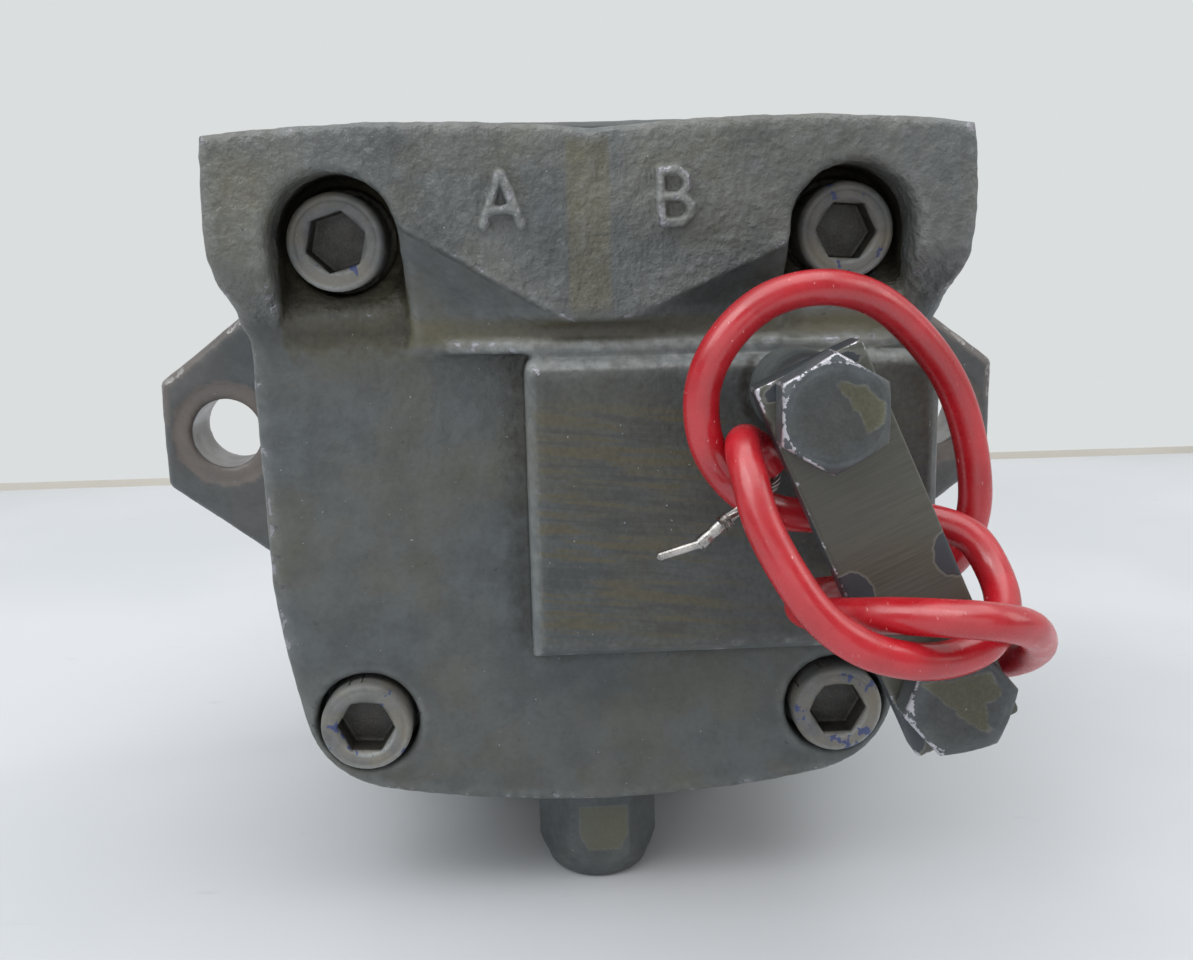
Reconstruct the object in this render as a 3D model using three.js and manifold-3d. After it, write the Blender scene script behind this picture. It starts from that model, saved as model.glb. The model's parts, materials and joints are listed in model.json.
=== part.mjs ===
// Fixed-displacement vane motor with a two-bolt mounting flange and a swivelling arm on its rear cap.
// Millimetres, +Z up. The shaft lies along +Y and the rear cap faces -Y.
// Every solid is drawn about the shaft axis, with y = 0 at the faces of the four cap screws. The group at
// the end lifts and shifts it all, so that the origin is at the bottom centre of the whole motor.

import * as THREE from 'three';
import { ConvexGeometry } from 'three/addons/geometries/ConvexGeometry.js';
import { mergeVertices } from 'three/addons/utils/BufferGeometryUtils.js';
import Module from 'manifold-3d';

const wasm = await Module();
wasm.setup();

// ---- driving dimensions ----

const gap = 0.3;                  // play between pieces that rest on each other

const axisHeight = 88;            // shaft axis above the surface the motor stands on
const screwPitch = 47;            // half the side of the square that the cap screws stand on
const screwHeadRadius = 9;
const screwHeadHeight = 12;
const screwRadius = 6;
const screwEnd = 70;              // y of the tips of the cap screws
const screwSocketFlats = 10;
const screwSocketDepth = 6;

const upperFace = -9;             // y of the lettered upper face of the rear cap
const padFace = -8;               // y of the raised pad
const lowerFace = 3;              // y of the lower face
const partingFace = 44;           // y where the cap meets the flange housing
const capHalfWidth = 64.5;
const capTopHalfWidth = 68;
const capTop = 66;
const capBottom = -66;

const pad = { left: -13.5, right: 63.5, bottom: -31.5, top: 25.5, corner: 7 };
const sill = { left: -34, right: 62, bottom: 26.2, top: 36, face: -4.6 };
const pocketRadius = 11.3;
const pocketDepth = 9.5;          // y of the floor beside an upper screw

const portOffset = 27;            // x of the two ports
const portDepthY = 24;            // y of the two ports
const portRadius = 12;
const portFloor = 28;
const passage = { x: 25, z: 34, radius: 7 };

const bodyHalfWidth = 71.8;
const bodyCorner = 46;            // radius of the body's corners
const earFace = 81;               // y of the rear face of the mounting ears
const mountFace = 101;            // y of the mounting face
const earHalfSpan = 106.5;
const earEndHalfHeight = 13.3;
const boltSpan = 90.5;            // half the distance between the flange bolt holes
const boltHoleRadius = 8.75;
const spotFaceRadius = 13;
const pilotRadius = 63.5;
const pilotLength = 12.7;
const foot = { halfWidth: 30, back: 62, front: 98 };

const cavityRadius = 52.5;
const cavityFloor = 85.5;
const bearingBore = 36.3;
const bearingEnd = 103.1;
const sealBore = 31.3;

const ringStart = 53;             // y of the cam ring
const ringEnd = 77;
const camMinor = 33;
const camMajor = 36;
const rotorRadius = 32;
const vaneCount = 10;
const vaneThickness = 2;
const dowelOffset = 45;

const shaftBearingRadius = 17.5;
const shaftOutputRadius = 15.875;
const shaftSplineRadius = 13.7;
const shaftRearRadius = 12.5;
const shaftEnd = 157;
const key = { width: 7.9, start: 116, end: 151, depth: 4 };

const plug = { x: -1, y: 22, flats: 22, radius: 8, top: -52, shoulder: 5.8 };

const arm = {
  x: 35.2,
  z: 19,
  tilt: 24,                       // degrees from hanging straight down
  width: 19,
  thickness: 6,
  back: -30.1,                    // y of the side that faces the cap
  above: 8,                       // from the pivot to the upper end
  boltSpacing: 53,
  length: 70,
};
const hexFlats = 17;              // M10 hexagon heads
const hexHeight = 6.4;
const boltRadius = 5;
const spacerRadius = 8;

const leadRadius = 3;
const leadRoute = [
  [28.4, -25.8, 8.2], [25.9, -27.4, 11.1], [22.7, -31.8, 13.4], [21.6, -37.0, 12.6],
  [21.9, -41.8, 8.6], [23.0, -45.2, 3.2], [26.6, -48.6, -4.4], [31.4, -50.4, -11.2],
  [38.2, -51.0, -16.2], [45.4, -50.8, -18.4], [52.6, -48.2, -19.3], [59.0, -45.4, -18.0],
  [64.4, -38.2, -15.0], [65.4, -31.4, -10.6], [62.6, -26.8, -5.2], [55.6, -24.4, -2.6],
  [47.0, -23.2, -1.8], [38.0, -22.8, -1.6], [29.4, -23.2, -0.4], [21.4, -26.8, 5.4],
  [16.6, -29.6, 13.2], [15.9, -30.6, 22.1], [19.2, -31.0, 29.8], [26.4, -30.0, 36.0],
  [35.6, -28.0, 38.0], [44.9, -25.0, 36.0], [53.8, -21.0, 29.6], [61.8, -17.4, 19.8],
  [66.4, -15.4, 7.6], [67.2, -15.4, -3.4], [63.6, -16.2, -11.8], [54.6, -17.0, -16.0],
  [44.2, -19.2, -16.4], [36.2, -24.2, -15.6], [32.6, -31.0, -15.4], [34.0, -37.4, -14.8],
  [38.2, -42.4, -13.6], [43.4, -47.0, -12.3], [49.6, -51.6, -11.4], [56.2, -54.0, -11.4],
  [62.6, -51.2, -13.4], [67.6, -44.8, -17.4], [70.6, -37.0, -22.2], [70.2, -30.4, -26.2],
  [66.8, -25.2, -28.8], [61.0, -22.4, -30.2], [54.6, -21.4, -30.2],
];
const leadSides = 8;
const leadSteps = 76;
const wireRadius = 0.95;

// ---- materials ----

function finish(color, roughness, metalness) {
  return new THREE.MeshStandardMaterial({ color, roughness, metalness });
}

const castingPaint = finish(0x585f62, 0.55, 0.2);
const armPaint = finish(0x55574e, 0.5, 0.4);
const boltPaint = finish(0x4c5154, 0.5, 0.4);
const steel = finish(0xb4b6b8, 0.3, 0.9);
const hardSteel = finish(0x8d9094, 0.35, 0.9);
const bronze = finish(0xa9803f, 0.4, 0.8);
const copper = finish(0xa8684a, 0.4, 0.8);
const rubber = finish(0x1c1c1e, 0.8, 0);
const redJacket = finish(0xbe1e2d, 0.35, 0);
const nickel = finish(0xc9cacb, 0.25, 1);

// ---- solids ----

// A copy of a geometry with shared corners and its faces pointing out.
function closed(geometry) {
  const bare = geometry.index ? geometry.toNonIndexed() : geometry.clone();
  bare.deleteAttribute('normal');
  bare.deleteAttribute('uv');
  const merged = mergeVertices(bare, 1e-4);
  const corner = new THREE.Vector3();
  const index = merged.index.array;
  const kept = [];
  let volume = 0;
  for (let i = 0; i < index.length; i += 3) {
    const [a, b, c] = [index[i], index[i + 1], index[i + 2]];
    if (a === b || b === c || c === a) continue;
    kept.push(a, b, c);
    const [p, q, r] = [a, b, c].map((k) => corner.fromBufferAttribute(merged.attributes.position, k).clone());
    volume += p.dot(q.cross(r));
  }
  if (volume < 0) kept.reverse();
  merged.setIndex(kept);
  return merged;
}

function solid(geometry) {
  const shape = closed(geometry);
  const mesh = new wasm.Mesh({
    numProp: 3,
    vertProperties: new Float32Array(shape.attributes.position.array),
    triVerts: new Uint32Array(shape.index.array),
  });
  return new wasm.Manifold(mesh);
}

function joined(pieces) {
  return pieces.reduce((whole, piece) => whole.add(piece));
}

function cut(whole, tools) {
  return tools.reduce((rest, tool) => rest.subtract(tool), whole);
}

function toGeometry(manifold) {
  const mesh = manifold.getMesh();
  const geometry = new THREE.BufferGeometry();
  geometry.setAttribute('position', new THREE.BufferAttribute(new Float32Array(mesh.vertProperties), 3));
  geometry.setIndex(new THREE.BufferAttribute(new Uint32Array(mesh.triVerts), 1));
  geometry.computeVertexNormals();
  return geometry;
}

// An outline in x and z, drawn out along y.
function slab(shape, from, to, curveSegments = 10) {
  const geometry = new THREE.ExtrudeGeometry(shape, { depth: to - from, bevelEnabled: false, curveSegments });
  geometry.rotateX(Math.PI / 2);
  geometry.translate(0, to, 0);
  return solid(geometry);
}

// A round bar along y.
function rod(radius, from, to, x = 0, z = 0, segments = 24) {
  const geometry = new THREE.CylinderGeometry(radius, radius, to - from, segments);
  geometry.translate(x, (from + to) / 2, z);
  return solid(geometry);
}

// A round bar along z.
function post(radius, from, to, x, y, segments = 32) {
  const geometry = new THREE.CylinderGeometry(radius, radius, to - from, segments);
  geometry.rotateX(Math.PI / 2);
  geometry.translate(x, y, (from + to) / 2);
  return solid(geometry);
}

function block(low, high) {
  const size = high.map((value, i) => value - low[i]);
  const geometry = new THREE.BoxGeometry(...size);
  geometry.translate(...high.map((value, i) => (value + low[i]) / 2));
  return solid(geometry);
}

// A ring or shaft turned about y from a closed profile of [radius, y] corners.
function turned(profile, segments = 28) {
  const points = profile.map(([radius, y]) => new THREE.Vector2(radius, y));
  if (profile.every(([radius]) => radius > 0)) points.push(points[0].clone());
  return solid(new THREE.LatheGeometry(points, segments));
}

function ring(inner, outer, from, to, segments = 28) {
  return turned([[inner, from], [outer, from], [outer, to], [inner, to]], segments);
}

// A hexagonal bar along y, with two corners straight up and down when turn is 0.
function hexBar(flats, from, to, turn = 0, x = 0, z = 0) {
  const geometry = new THREE.CylinderGeometry(flats / Math.sqrt(3), flats / Math.sqrt(3), to - from, 6);
  geometry.rotateY(turn);
  geometry.translate(x, (from + to) / 2, z);
  return solid(geometry);
}

function polygon(corners) {
  return new THREE.Shape(corners.map(([x, z]) => new THREE.Vector2(x, z)));
}

// ---- the assembly ----

const motor = new THREE.Group();
const reach = { back: arm.back - arm.thickness - gap - hexHeight, front: shaftEnd };
motor.position.set(0, -(reach.back + reach.front) / 2, axisHeight);

function place(name, shape, material, parent = motor) {
  const geometry = shape instanceof THREE.BufferGeometry ? closed(shape) : toGeometry(shape);
  const mesh = new THREE.Mesh(geometry, material);
  mesh.name = name;
  parent.add(mesh);
  return mesh;
}

const screwPlaces = [[-1, 1], [1, 1], [-1, -1], [1, -1]].map(([sx, sz]) => [sx * screwPitch, sz * screwPitch]);

// ---- rear cap ----

function capOutline() {
  const shape = new THREE.Shape();
  shape.moveTo(0, capBottom);
  shape.quadraticCurveTo(26, capBottom + 0.6, 45, -61.5);
  shape.quadraticCurveTo(57.5, -58, 59.5, -46);
  shape.quadraticCurveTo(62.5, -32, capHalfWidth - 0.5, -18);
  shape.lineTo(capHalfWidth, 22);
  shape.quadraticCurveTo(62.6, 31, 66.2, 41);
  shape.quadraticCurveTo(capTopHalfWidth + 1.5, 52, capTopHalfWidth - 0.2, capTop - 0.6);
  shape.quadraticCurveTo(38, capTop + 3, 0, capTop - 0.4);
  shape.quadraticCurveTo(-38, capTop + 3, -capTopHalfWidth + 0.2, capTop - 0.6);
  shape.quadraticCurveTo(-capTopHalfWidth - 1.5, 52, -66.2, 41);
  shape.quadraticCurveTo(-62.6, 31, -capHalfWidth, 22);
  shape.lineTo(-capHalfWidth + 0.5, -18);
  shape.quadraticCurveTo(-62.5, -32, -59.5, -46);
  shape.quadraticCurveTo(-57.5, -58, -45, -61.5);
  shape.quadraticCurveTo(-26, capBottom + 0.6, 0, capBottom);
  return shape;
}

// The lettered upper face: full height at the sides and middle, cut back in a shallow V on either side.
function upperBlock() {
  const face = polygon([
    [-90, 32], [-50, 32], [-50, 50], [-34, 50], [-5, 32.5],
    [3, 32.5], [34, 50], [50, 50], [50, 32], [90, 32], [90, 90], [-90, 90],
  ]);
  const outline = slab(capOutline(), upperFace, lowerFace + 1, 5);
  const facets = [-1, 1].map((side) => {
    const corners = [
      [40, upperFace, 54], [3.6, upperFace, 33.4], [40, lowerFace + 1, 54], [3.6, lowerFace + 1, 33.4],
      [40, lowerFace + 0.5, 32], [5, lowerFace + 0.5, 31],
    ];
    return solid(new ConvexGeometry(corners.map(([x, y, z]) => new THREE.Vector3(side * x, y, z))));
  });
  return joined([outline.intersect(slab(face, upperFace - 1, lowerFace + 1)), ...facets]);
}

function padBlock() {
  const { left, right, bottom, top, corner } = pad;
  const shape = new THREE.Shape();
  shape.moveTo(left, bottom);
  shape.lineTo(right, bottom);
  shape.lineTo(right, top - corner);
  shape.quadraticCurveTo(right, top, right - corner, top);
  shape.lineTo(left, top);
  shape.lineTo(left, bottom);
  return slab(shape, padFace, lowerFace + 1, 4);
}

// A shelf between the lettered face and the pad, which slopes back to the lower face at both ends.
function sillBlock() {
  const { left, right, bottom, top, face } = sill;
  const plan = polygon([
    [left, lowerFace + 1], [left, lowerFace - 1.2], [left + 28, face], [right - 14, face],
    [right, lowerFace - 1.6], [right, lowerFace + 1],
  ]);
  const geometry = new THREE.ExtrudeGeometry(plan, { depth: top - bottom, bevelEnabled: false });
  geometry.translate(0, 0, bottom);
  return solid(geometry);
}

// The pocket round an upper cap screw: arched over the head, with a floor that ramps out below it.
function pocket(x, z) {
  const arch = new THREE.Shape();
  arch.absarc(x, z - 1, pocketRadius, 0, Math.PI, false);
  const rampEnd = x > 0 ? sill.face + 0.3 : lowerFace - 1;
  const corners = [-pocketRadius, pocketRadius].flatMap((side) => [
    [x + side, -30, z - 1], [x + side, pocketDepth, z - 1], [x + side, -30, 30.5], [x + side, rampEnd, 30.5],
  ]);
  const ramp = solid(new ConvexGeometry(corners.map((corner) => new THREE.Vector3(...corner))));
  const bore = rod(10.2, -30, screwHeadHeight + gap, x, z, 24);
  return joined([slab(arch, -30, pocketDepth, 12), ramp, bore]);
}

function rearCap() {
  const body = joined([slab(capOutline(), lowerFace, partingFace, 5), upperBlock(), sillBlock(), padBlock()]);
  const tools = [
    ...screwPlaces.map(([x, z]) => rod(screwRadius + 0.8, 0, partingFace + 1, x, z, 16)),
    ...screwPlaces.map(([x, z]) => (z > 0 ? pocket(x, z) : rod(10, -30, screwHeadHeight + gap, x, z, 24))),
    rod(17.7, 20, partingFace + 1, 0, 0, 32),
    rod(boltRadius + gap, -30, 12, arm.x, arm.z, 24),
    post(plug.radius + gap, capBottom - 10, plug.top + 2, plug.x, plug.y, 24),
  ];
  for (const side of [-1, 1]) {
    tools.push(post(portRadius, portFloor, capTop + 10, side * portOffset, portDepthY, 32));
    tools.push(post(19, capTop - 1.2, capTop + 10, side * portOffset, portDepthY, 32));
    tools.push(rod(passage.radius, portDepthY, partingFace + 1, side * passage.x, passage.z, 20));
  }
  return cut(body, tools);
}

place('rear_cap', rearCap(), castingPaint);

// ---- cap screws ----

function capScrew(x, z, turn) {
  const head = turned([
    [0, 0], [screwHeadRadius - 1, 0], [screwHeadRadius, 1],
    [screwHeadRadius, screwHeadHeight], [screwRadius, screwHeadHeight],
    [screwRadius, screwEnd - 1], [screwRadius - 1, screwEnd], [0, screwEnd],
  ], 24);
  return cut(head, [hexBar(screwSocketFlats, -1, screwSocketDepth, turn)]).translate([x, 0, z]);
}

const socketTurns = [0.23, -0.44, 0.57, 0.52];
screwPlaces.forEach(([x, z], i) => place(`cap_screw_${i + 1}`, capScrew(x, z, socketTurns[i]), boltPaint));

// ---- drain plug ----

const washerTop = capBottom - gap;
const washerBottom = washerTop - 1.5;

function drainPlug() {
  const top = washerBottom - gap;
  const hexagon = hexBar(plug.flats, -axisHeight, top, Math.PI / 6);
  const corner = plug.flats / Math.sqrt(3) + 0.1;
  const rounding = turned([
    [0, -axisHeight], [8.9, -axisHeight], [10.6, -axisHeight + 1.6], [11, -axisHeight + 2.8],
    [corner, -axisHeight + plug.shoulder], [corner, top], [0, top],
  ], 24);
  const thread = rod(plug.radius, top - 1, plug.top, 0, 0, 24);
  return hexagon.intersect(rounding).add(thread).rotate([90, 0, 0]).translate([plug.x, plug.y, 0]);
}

place('drain_plug', drainPlug(), boltPaint);
const washer = ring(plug.radius + gap, 13, washerBottom, washerTop).rotate([90, 0, 0]);
place('drain_plug_washer', washer.translate([plug.x, plug.y, 0]), copper);

// ---- flange housing ----

// The body is a square with widely rounded corners.
function bodyOutline() {
  const shape = new THREE.Shape();
  const centre = bodyHalfWidth - bodyCorner;
  [[1, 1], [-1, 1], [-1, -1], [1, -1]].forEach(([sx, sz], i) => {
    shape.absarc(sx * centre, sz * centre, bodyCorner, (i * Math.PI) / 2, ((i + 1) * Math.PI) / 2, false);
  });
  return shape;
}

function earOutline() {
  const shoulder = [56, earEndHalfHeight + (earHalfSpan - 56) * 0.75];
  const right = [[shoulder[0], -shoulder[1]], [earHalfSpan, -earEndHalfHeight], [earHalfSpan, earEndHalfHeight], shoulder];
  return polygon([...right, ...right.map(([x, z]) => [-x, -z])]);
}

function flangeHousing() {
  const start = partingFace + gap;
  const body = joined([
    slab(bodyOutline(), start, mountFace, 12),
    slab(earOutline(), earFace, mountFace),
    rod(pilotRadius, mountFace - 1, mountFace + pilotLength, 0, 0, 48),
    block([-foot.halfWidth, foot.back, -axisHeight], [foot.halfWidth, foot.front, -60]),
  ]);
  const grooveFloor = start + 2.6;
  const tools = [
    rod(cavityRadius, start - 1, cavityFloor, 0, 0, 48),
    ring(54, 57.4, start - 1, grooveFloor, 40),
    rod(bearingBore, cavityFloor - 1, bearingEnd, 0, 0, 36),
    rod(28, bearingEnd - 1, bearingEnd + 3, 0, 0, 32),
    rod(sealBore, bearingEnd + 2, mountFace + pilotLength + 1, 0, 0, 32),
    ...screwPlaces.map(([x, z]) => rod(screwRadius + gap, start - 1, screwEnd + 4, x, z, 16)),
  ];
  for (const side of [-1, 1]) {
    tools.push(rod(boltHoleRadius, earFace - 1, mountFace + 1, side * boltSpan, 0, 24));
    tools.push(rod(spotFaceRadius, earFace - 5, earFace + 0.6, side * boltSpan, 0, 24));
  }
  return cut(body, tools);
}

place('flange_housing', flangeHousing(), castingPaint);

function torus(radius, thickness, y) {
  const geometry = new THREE.TorusGeometry(radius, thickness, 6, 40);
  geometry.rotateX(Math.PI / 2);
  geometry.translate(0, y, 0);
  return geometry;
}

place('cap_o_ring', torus(55.7, 1.2, partingFace + gap + 1.3), rubber);

// ---- pumping cartridge ----

// A plate beside the rotor, with two pairs of kidney ports and a hole for each dowel.
function portPlate(from, to) {
  const plate = ring(18, cavityRadius - gap, from, to, 40);
  const kidneys = [0, 1, 2, 3].map((quarter) => {
    const middle = Math.PI / 4 + quarter * Math.PI / 2;
    const shape = new THREE.Shape();
    shape.absarc(0, 0, 38, middle - 0.4, middle + 0.4, false);
    shape.absarc(0, 0, 33, middle + 0.4, middle - 0.4, true);
    return slab(shape, from - 1, to + 1, 4);
  });
  const dowelHoles = [-1, 1].map((side) => rod(2.8, from - 1, to + 1, side * dowelOffset, 0, 12));
  return cut(plate, [...kidneys, ...dowelHoles]);
}

function camRing() {
  const track = new THREE.Shape();
  const steps = 40;
  for (let i = 0; i < steps; i += 1) {
    const angle = (i / steps) * 2 * Math.PI;
    const radius = (camMajor + camMinor) / 2 - ((camMajor - camMinor) / 2) * Math.cos(4 * angle + Math.PI);
    const point = [radius * Math.cos(angle), radius * Math.sin(angle)];
    if (i === 0) track.moveTo(...point);
    else track.lineTo(...point);
  }
  const holes = [-1, 1].map((side) => rod(2.8, ringStart - 1, ringEnd + 1, side * dowelOffset, 0, 12));
  const blank = rod(cavityRadius - gap, ringStart, ringEnd, 0, 0, 40);
  return cut(blank, [slab(track, ringStart - 1, ringEnd + 1), ...holes]);
}

place('rear_port_plate', portPlate(partingFace + 2 * gap, ringStart - gap), hardSteel);
place('cam_ring', camRing(), hardSteel);
place('front_port_plate', portPlate(ringEnd + gap, cavityFloor - gap), hardSteel);
for (const [name, side] of [['dowel_left', -1], ['dowel_right', 1]]) {
  place(name, rod(2.5, partingFace + 1, cavityFloor - 0.5, side * dowelOffset, 0, 12), steel);
}

const vaneFoot = 20;
const vaneTip = camMinor - 0.4;

function slotted(radiusFrom, radiusTo, thickness, from, to, turn) {
  const shape = block([-thickness / 2, from, radiusFrom], [thickness / 2, to, radiusTo]);
  return shape.rotate([0, turn, 0]);
}

function rotor() {
  const blank = ring(shaftSplineRadius + gap, rotorRadius, ringStart + gap, ringEnd - gap, 40);
  const slots = [];
  for (let i = 0; i < vaneCount; i += 1) {
    const turn = (i * 360) / vaneCount;
    slots.push(slotted(vaneFoot - gap, 60, vaneThickness + 2 * 0.1, ringStart - 1, ringEnd + 1, turn));
  }
  return cut(blank, slots);
}

place('rotor', rotor(), hardSteel);
for (let i = 0; i < vaneCount; i += 1) {
  const turn = (i * 360) / vaneCount;
  const vane = slotted(vaneFoot, vaneTip, vaneThickness, ringStart + gap, ringEnd - gap, turn);
  place(`vane_${i + 1}`, vane, steel);
}

// ---- shaft, bearing, seal ----

function outputShaft() {
  const shoulder = cavityFloor + 0.5;
  const blank = turned([
    [0, 22], [shaftRearRadius - 1, 22], [shaftRearRadius, 23], [shaftRearRadius, partingFace + 1],
    [shaftSplineRadius, partingFace + 1], [shaftSplineRadius, ringEnd + 2], [shaftBearingRadius, ringEnd + 2],
    [shaftBearingRadius, shoulder + 29], [shaftOutputRadius, shoulder + 29],
    [shaftOutputRadius, shaftEnd - 1.5], [shaftOutputRadius - 1.5, shaftEnd], [0, shaftEnd],
  ], 32);
  const seat = shaftOutputRadius - key.depth;
  const width = key.width / 2 + 0.1;
  return cut(blank, [block([-width, key.start - 0.2, seat], [width, key.end + 0.2, 30])]);
}

place('output_shaft', outputShaft(), steel);
const keyFloor = shaftOutputRadius - key.depth + gap;
const keyLow = [-key.width / 2, key.start, keyFloor];
const keyHigh = [key.width / 2, key.end, keyFloor + key.width];
place('shaft_key', block(keyLow, keyHigh), steel);

const bearingStart = cavityFloor + 0.4;
const ballCircle = 26.9;
const ballRadius = 4.3;
const ballCount = 9;

function ballsInCage() {
  const middle = (bearingStart + bearingEnd) / 2;
  const cage = ring(ballCircle - 1.2, ballCircle + 1.2, middle - 4.5, middle + 4.5, 27);
  const balls = [];
  for (let i = 0; i < ballCount; i += 1) {
    const ball = new THREE.SphereGeometry(ballRadius, 8, 6);
    const angle = (i / ballCount) * 2 * Math.PI;
    ball.translate(ballCircle * Math.cos(angle), middle, ballCircle * Math.sin(angle));
    balls.push(solid(ball));
  }
  return joined([cage, ...balls]);
}

place('bearing_outer_race', ring(31.6, bearingBore - gap, bearingStart, bearingEnd - gap), hardSteel);
place('bearing_inner_race', ring(shaftBearingRadius + gap, 22.2, bearingStart, bearingEnd - gap), hardSteel);
place('bearing_balls_and_cage', ballsInCage(), steel);

const sealStart = bearingEnd + 3.2;
const sealEnd = mountFace + pilotLength - 0.5;
place('shaft_seal', turned([
  [shaftBearingRadius + 0.2, sealStart + 2], [shaftBearingRadius + 3, sealStart],
  [sealBore - gap, sealStart], [sealBore - gap, sealEnd], [shaftBearingRadius + 2, sealEnd],
], 28), rubber);
place('rear_bush', ring(shaftRearRadius + 0.2, 17.4, 24, partingFace - 1), bronze);

// ---- arm on the pad ----

const armGroup = new THREE.Group();
armGroup.position.set(arm.x, 0, arm.z);
armGroup.rotation.y = THREE.MathUtils.degToRad(-arm.tilt);
motor.add(armGroup);

const armFront = arm.back - arm.thickness;
const headTop = armFront - gap;

function chamferedHead(turn) {
  const corner = hexFlats / Math.sqrt(3) + 0.1;
  const rounding = turned([
    [0, headTop - hexHeight], [hexFlats / 2 - 0.4, headTop - hexHeight], [corner, headTop - hexHeight + 1.4],
    [corner, headTop], [0, headTop],
  ], 24);
  return hexBar(hexFlats, headTop - hexHeight, headTop, turn).intersect(rounding);
}

function armStrap() {
  const half = arm.width / 2;
  const lowerEnd = arm.above - arm.length;
  const outline = polygon([[-half, lowerEnd], [half, lowerEnd], [half, arm.above], [-half, arm.above]]);
  const holes = [0, -arm.boltSpacing].map((z) => rod(boltRadius + 0.5, armFront - 1, arm.back + 1, 0, z, 20));
  return cut(slab(outline, armFront, arm.back), holes);
}

place('arm_strap', armStrap(), armPaint, armGroup);
const endBolt = joined([chamferedHead(-0.3), rod(boltRadius, headTop - 0.5, arm.back - 0.2, 0, 0, 20)]);
place('arm_end_bolt', endBolt.translate([0, 0, -arm.boltSpacing]), boltPaint, armGroup);
const pivotBolt = joined([chamferedHead(THREE.MathUtils.degToRad(arm.tilt)), rod(boltRadius, headTop - 0.5, 10)]);
place('arm_pivot_bolt', pivotBolt, boltPaint, armGroup);
place('arm_spacer', ring(boltRadius + 0.5, spacerRadius, arm.back + gap, padFace - gap, 24), boltPaint, armGroup);

// ---- red lead with a crimped pin on each end ----

function tubeAlong(points, radius, sides, steps) {
  const path = new THREE.CatmullRomCurve3(points.map((p) => new THREE.Vector3(...p)), false, 'centripetal');
  const section = new THREE.Shape();
  for (let i = 0; i < sides; i += 1) {
    const angle = (i / sides) * 2 * Math.PI;
    const point = [radius * Math.cos(angle), radius * Math.sin(angle)];
    if (i === 0) section.moveTo(...point);
    else section.lineTo(...point);
  }
  return new THREE.ExtrudeGeometry(section, { steps, extrudePath: path, bevelEnabled: false });
}

// A round bar between two points.
function bar(from, to, radius, sides = 8) {
  const start = new THREE.Vector3(...from);
  const end = new THREE.Vector3(...to);
  const geometry = new THREE.CylinderGeometry(radius, radius, start.distanceTo(end), sides);
  const along = end.clone().sub(start).normalize();
  geometry.applyQuaternion(new THREE.Quaternion().setFromUnitVectors(new THREE.Vector3(0, 1, 0), along));
  geometry.translate(...start.add(end).multiplyScalar(0.5).toArray());
  return solid(geometry);
}

// Bare wire, a crimp collar, a barrel and the pin itself, which bends down at its root.
function crimpedPin(wire, collarEnd, barrelEnd, tip) {
  const collarStart = wire[wire.length - 1];
  return joined([
    solid(tubeAlong(wire, wireRadius, 8, 7)),
    bar(collarStart, collarEnd, 1.5),
    bar(collarEnd, barrelEnd, 1.15),
    solid(new THREE.SphereGeometry(1.15, 8, 6).translate(...barrelEnd)),
    bar(barrelEnd, tip, 0.75),
  ]);
}

place('red_lead', tubeAlong(leadRoute, leadRadius, leadSides, leadSteps), redJacket);
const firstWire = [[28.9, -25.5, 7.2], [28.6, -27.4, 5.6], [26.4, -31.0, 4.6], [22.6, -34.0, 3.2], [19.6, -34.8, 1.4]];
place('lead_pin_1', crimpedPin(firstWire, [18.2, -35.0, 0.4], [14.8, -35.2, -2.6], [7.6, -35.6, -4.6]), nickel);
const secondWire = [[54.0, -21.35, -30.1], [51.8, -22.2, -29.4], [50.6, -23.8, -27.4], [50.2, -24.8, -24.6]];
place('lead_pin_2', crimpedPin(secondWire, [50.0, -25.2, -22.9], [49.2, -26.2, -18.6], [46.6, -27.0, -10.6]), nickel);

export default motor;
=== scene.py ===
# A used vane motor on a pale table: sculpted castings, fasteners, a swivelling arm and a red lead.
#
# Lengths are in millimetres about the shaft axis, with y = 0 at the faces of the cap screws, and row()
# turns them into metres in the CAD's own frame.

import json
import math
from functools import partialmethod, reduce

import bpy
import numpy as np
from mathutils import Matrix, Vector

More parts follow.
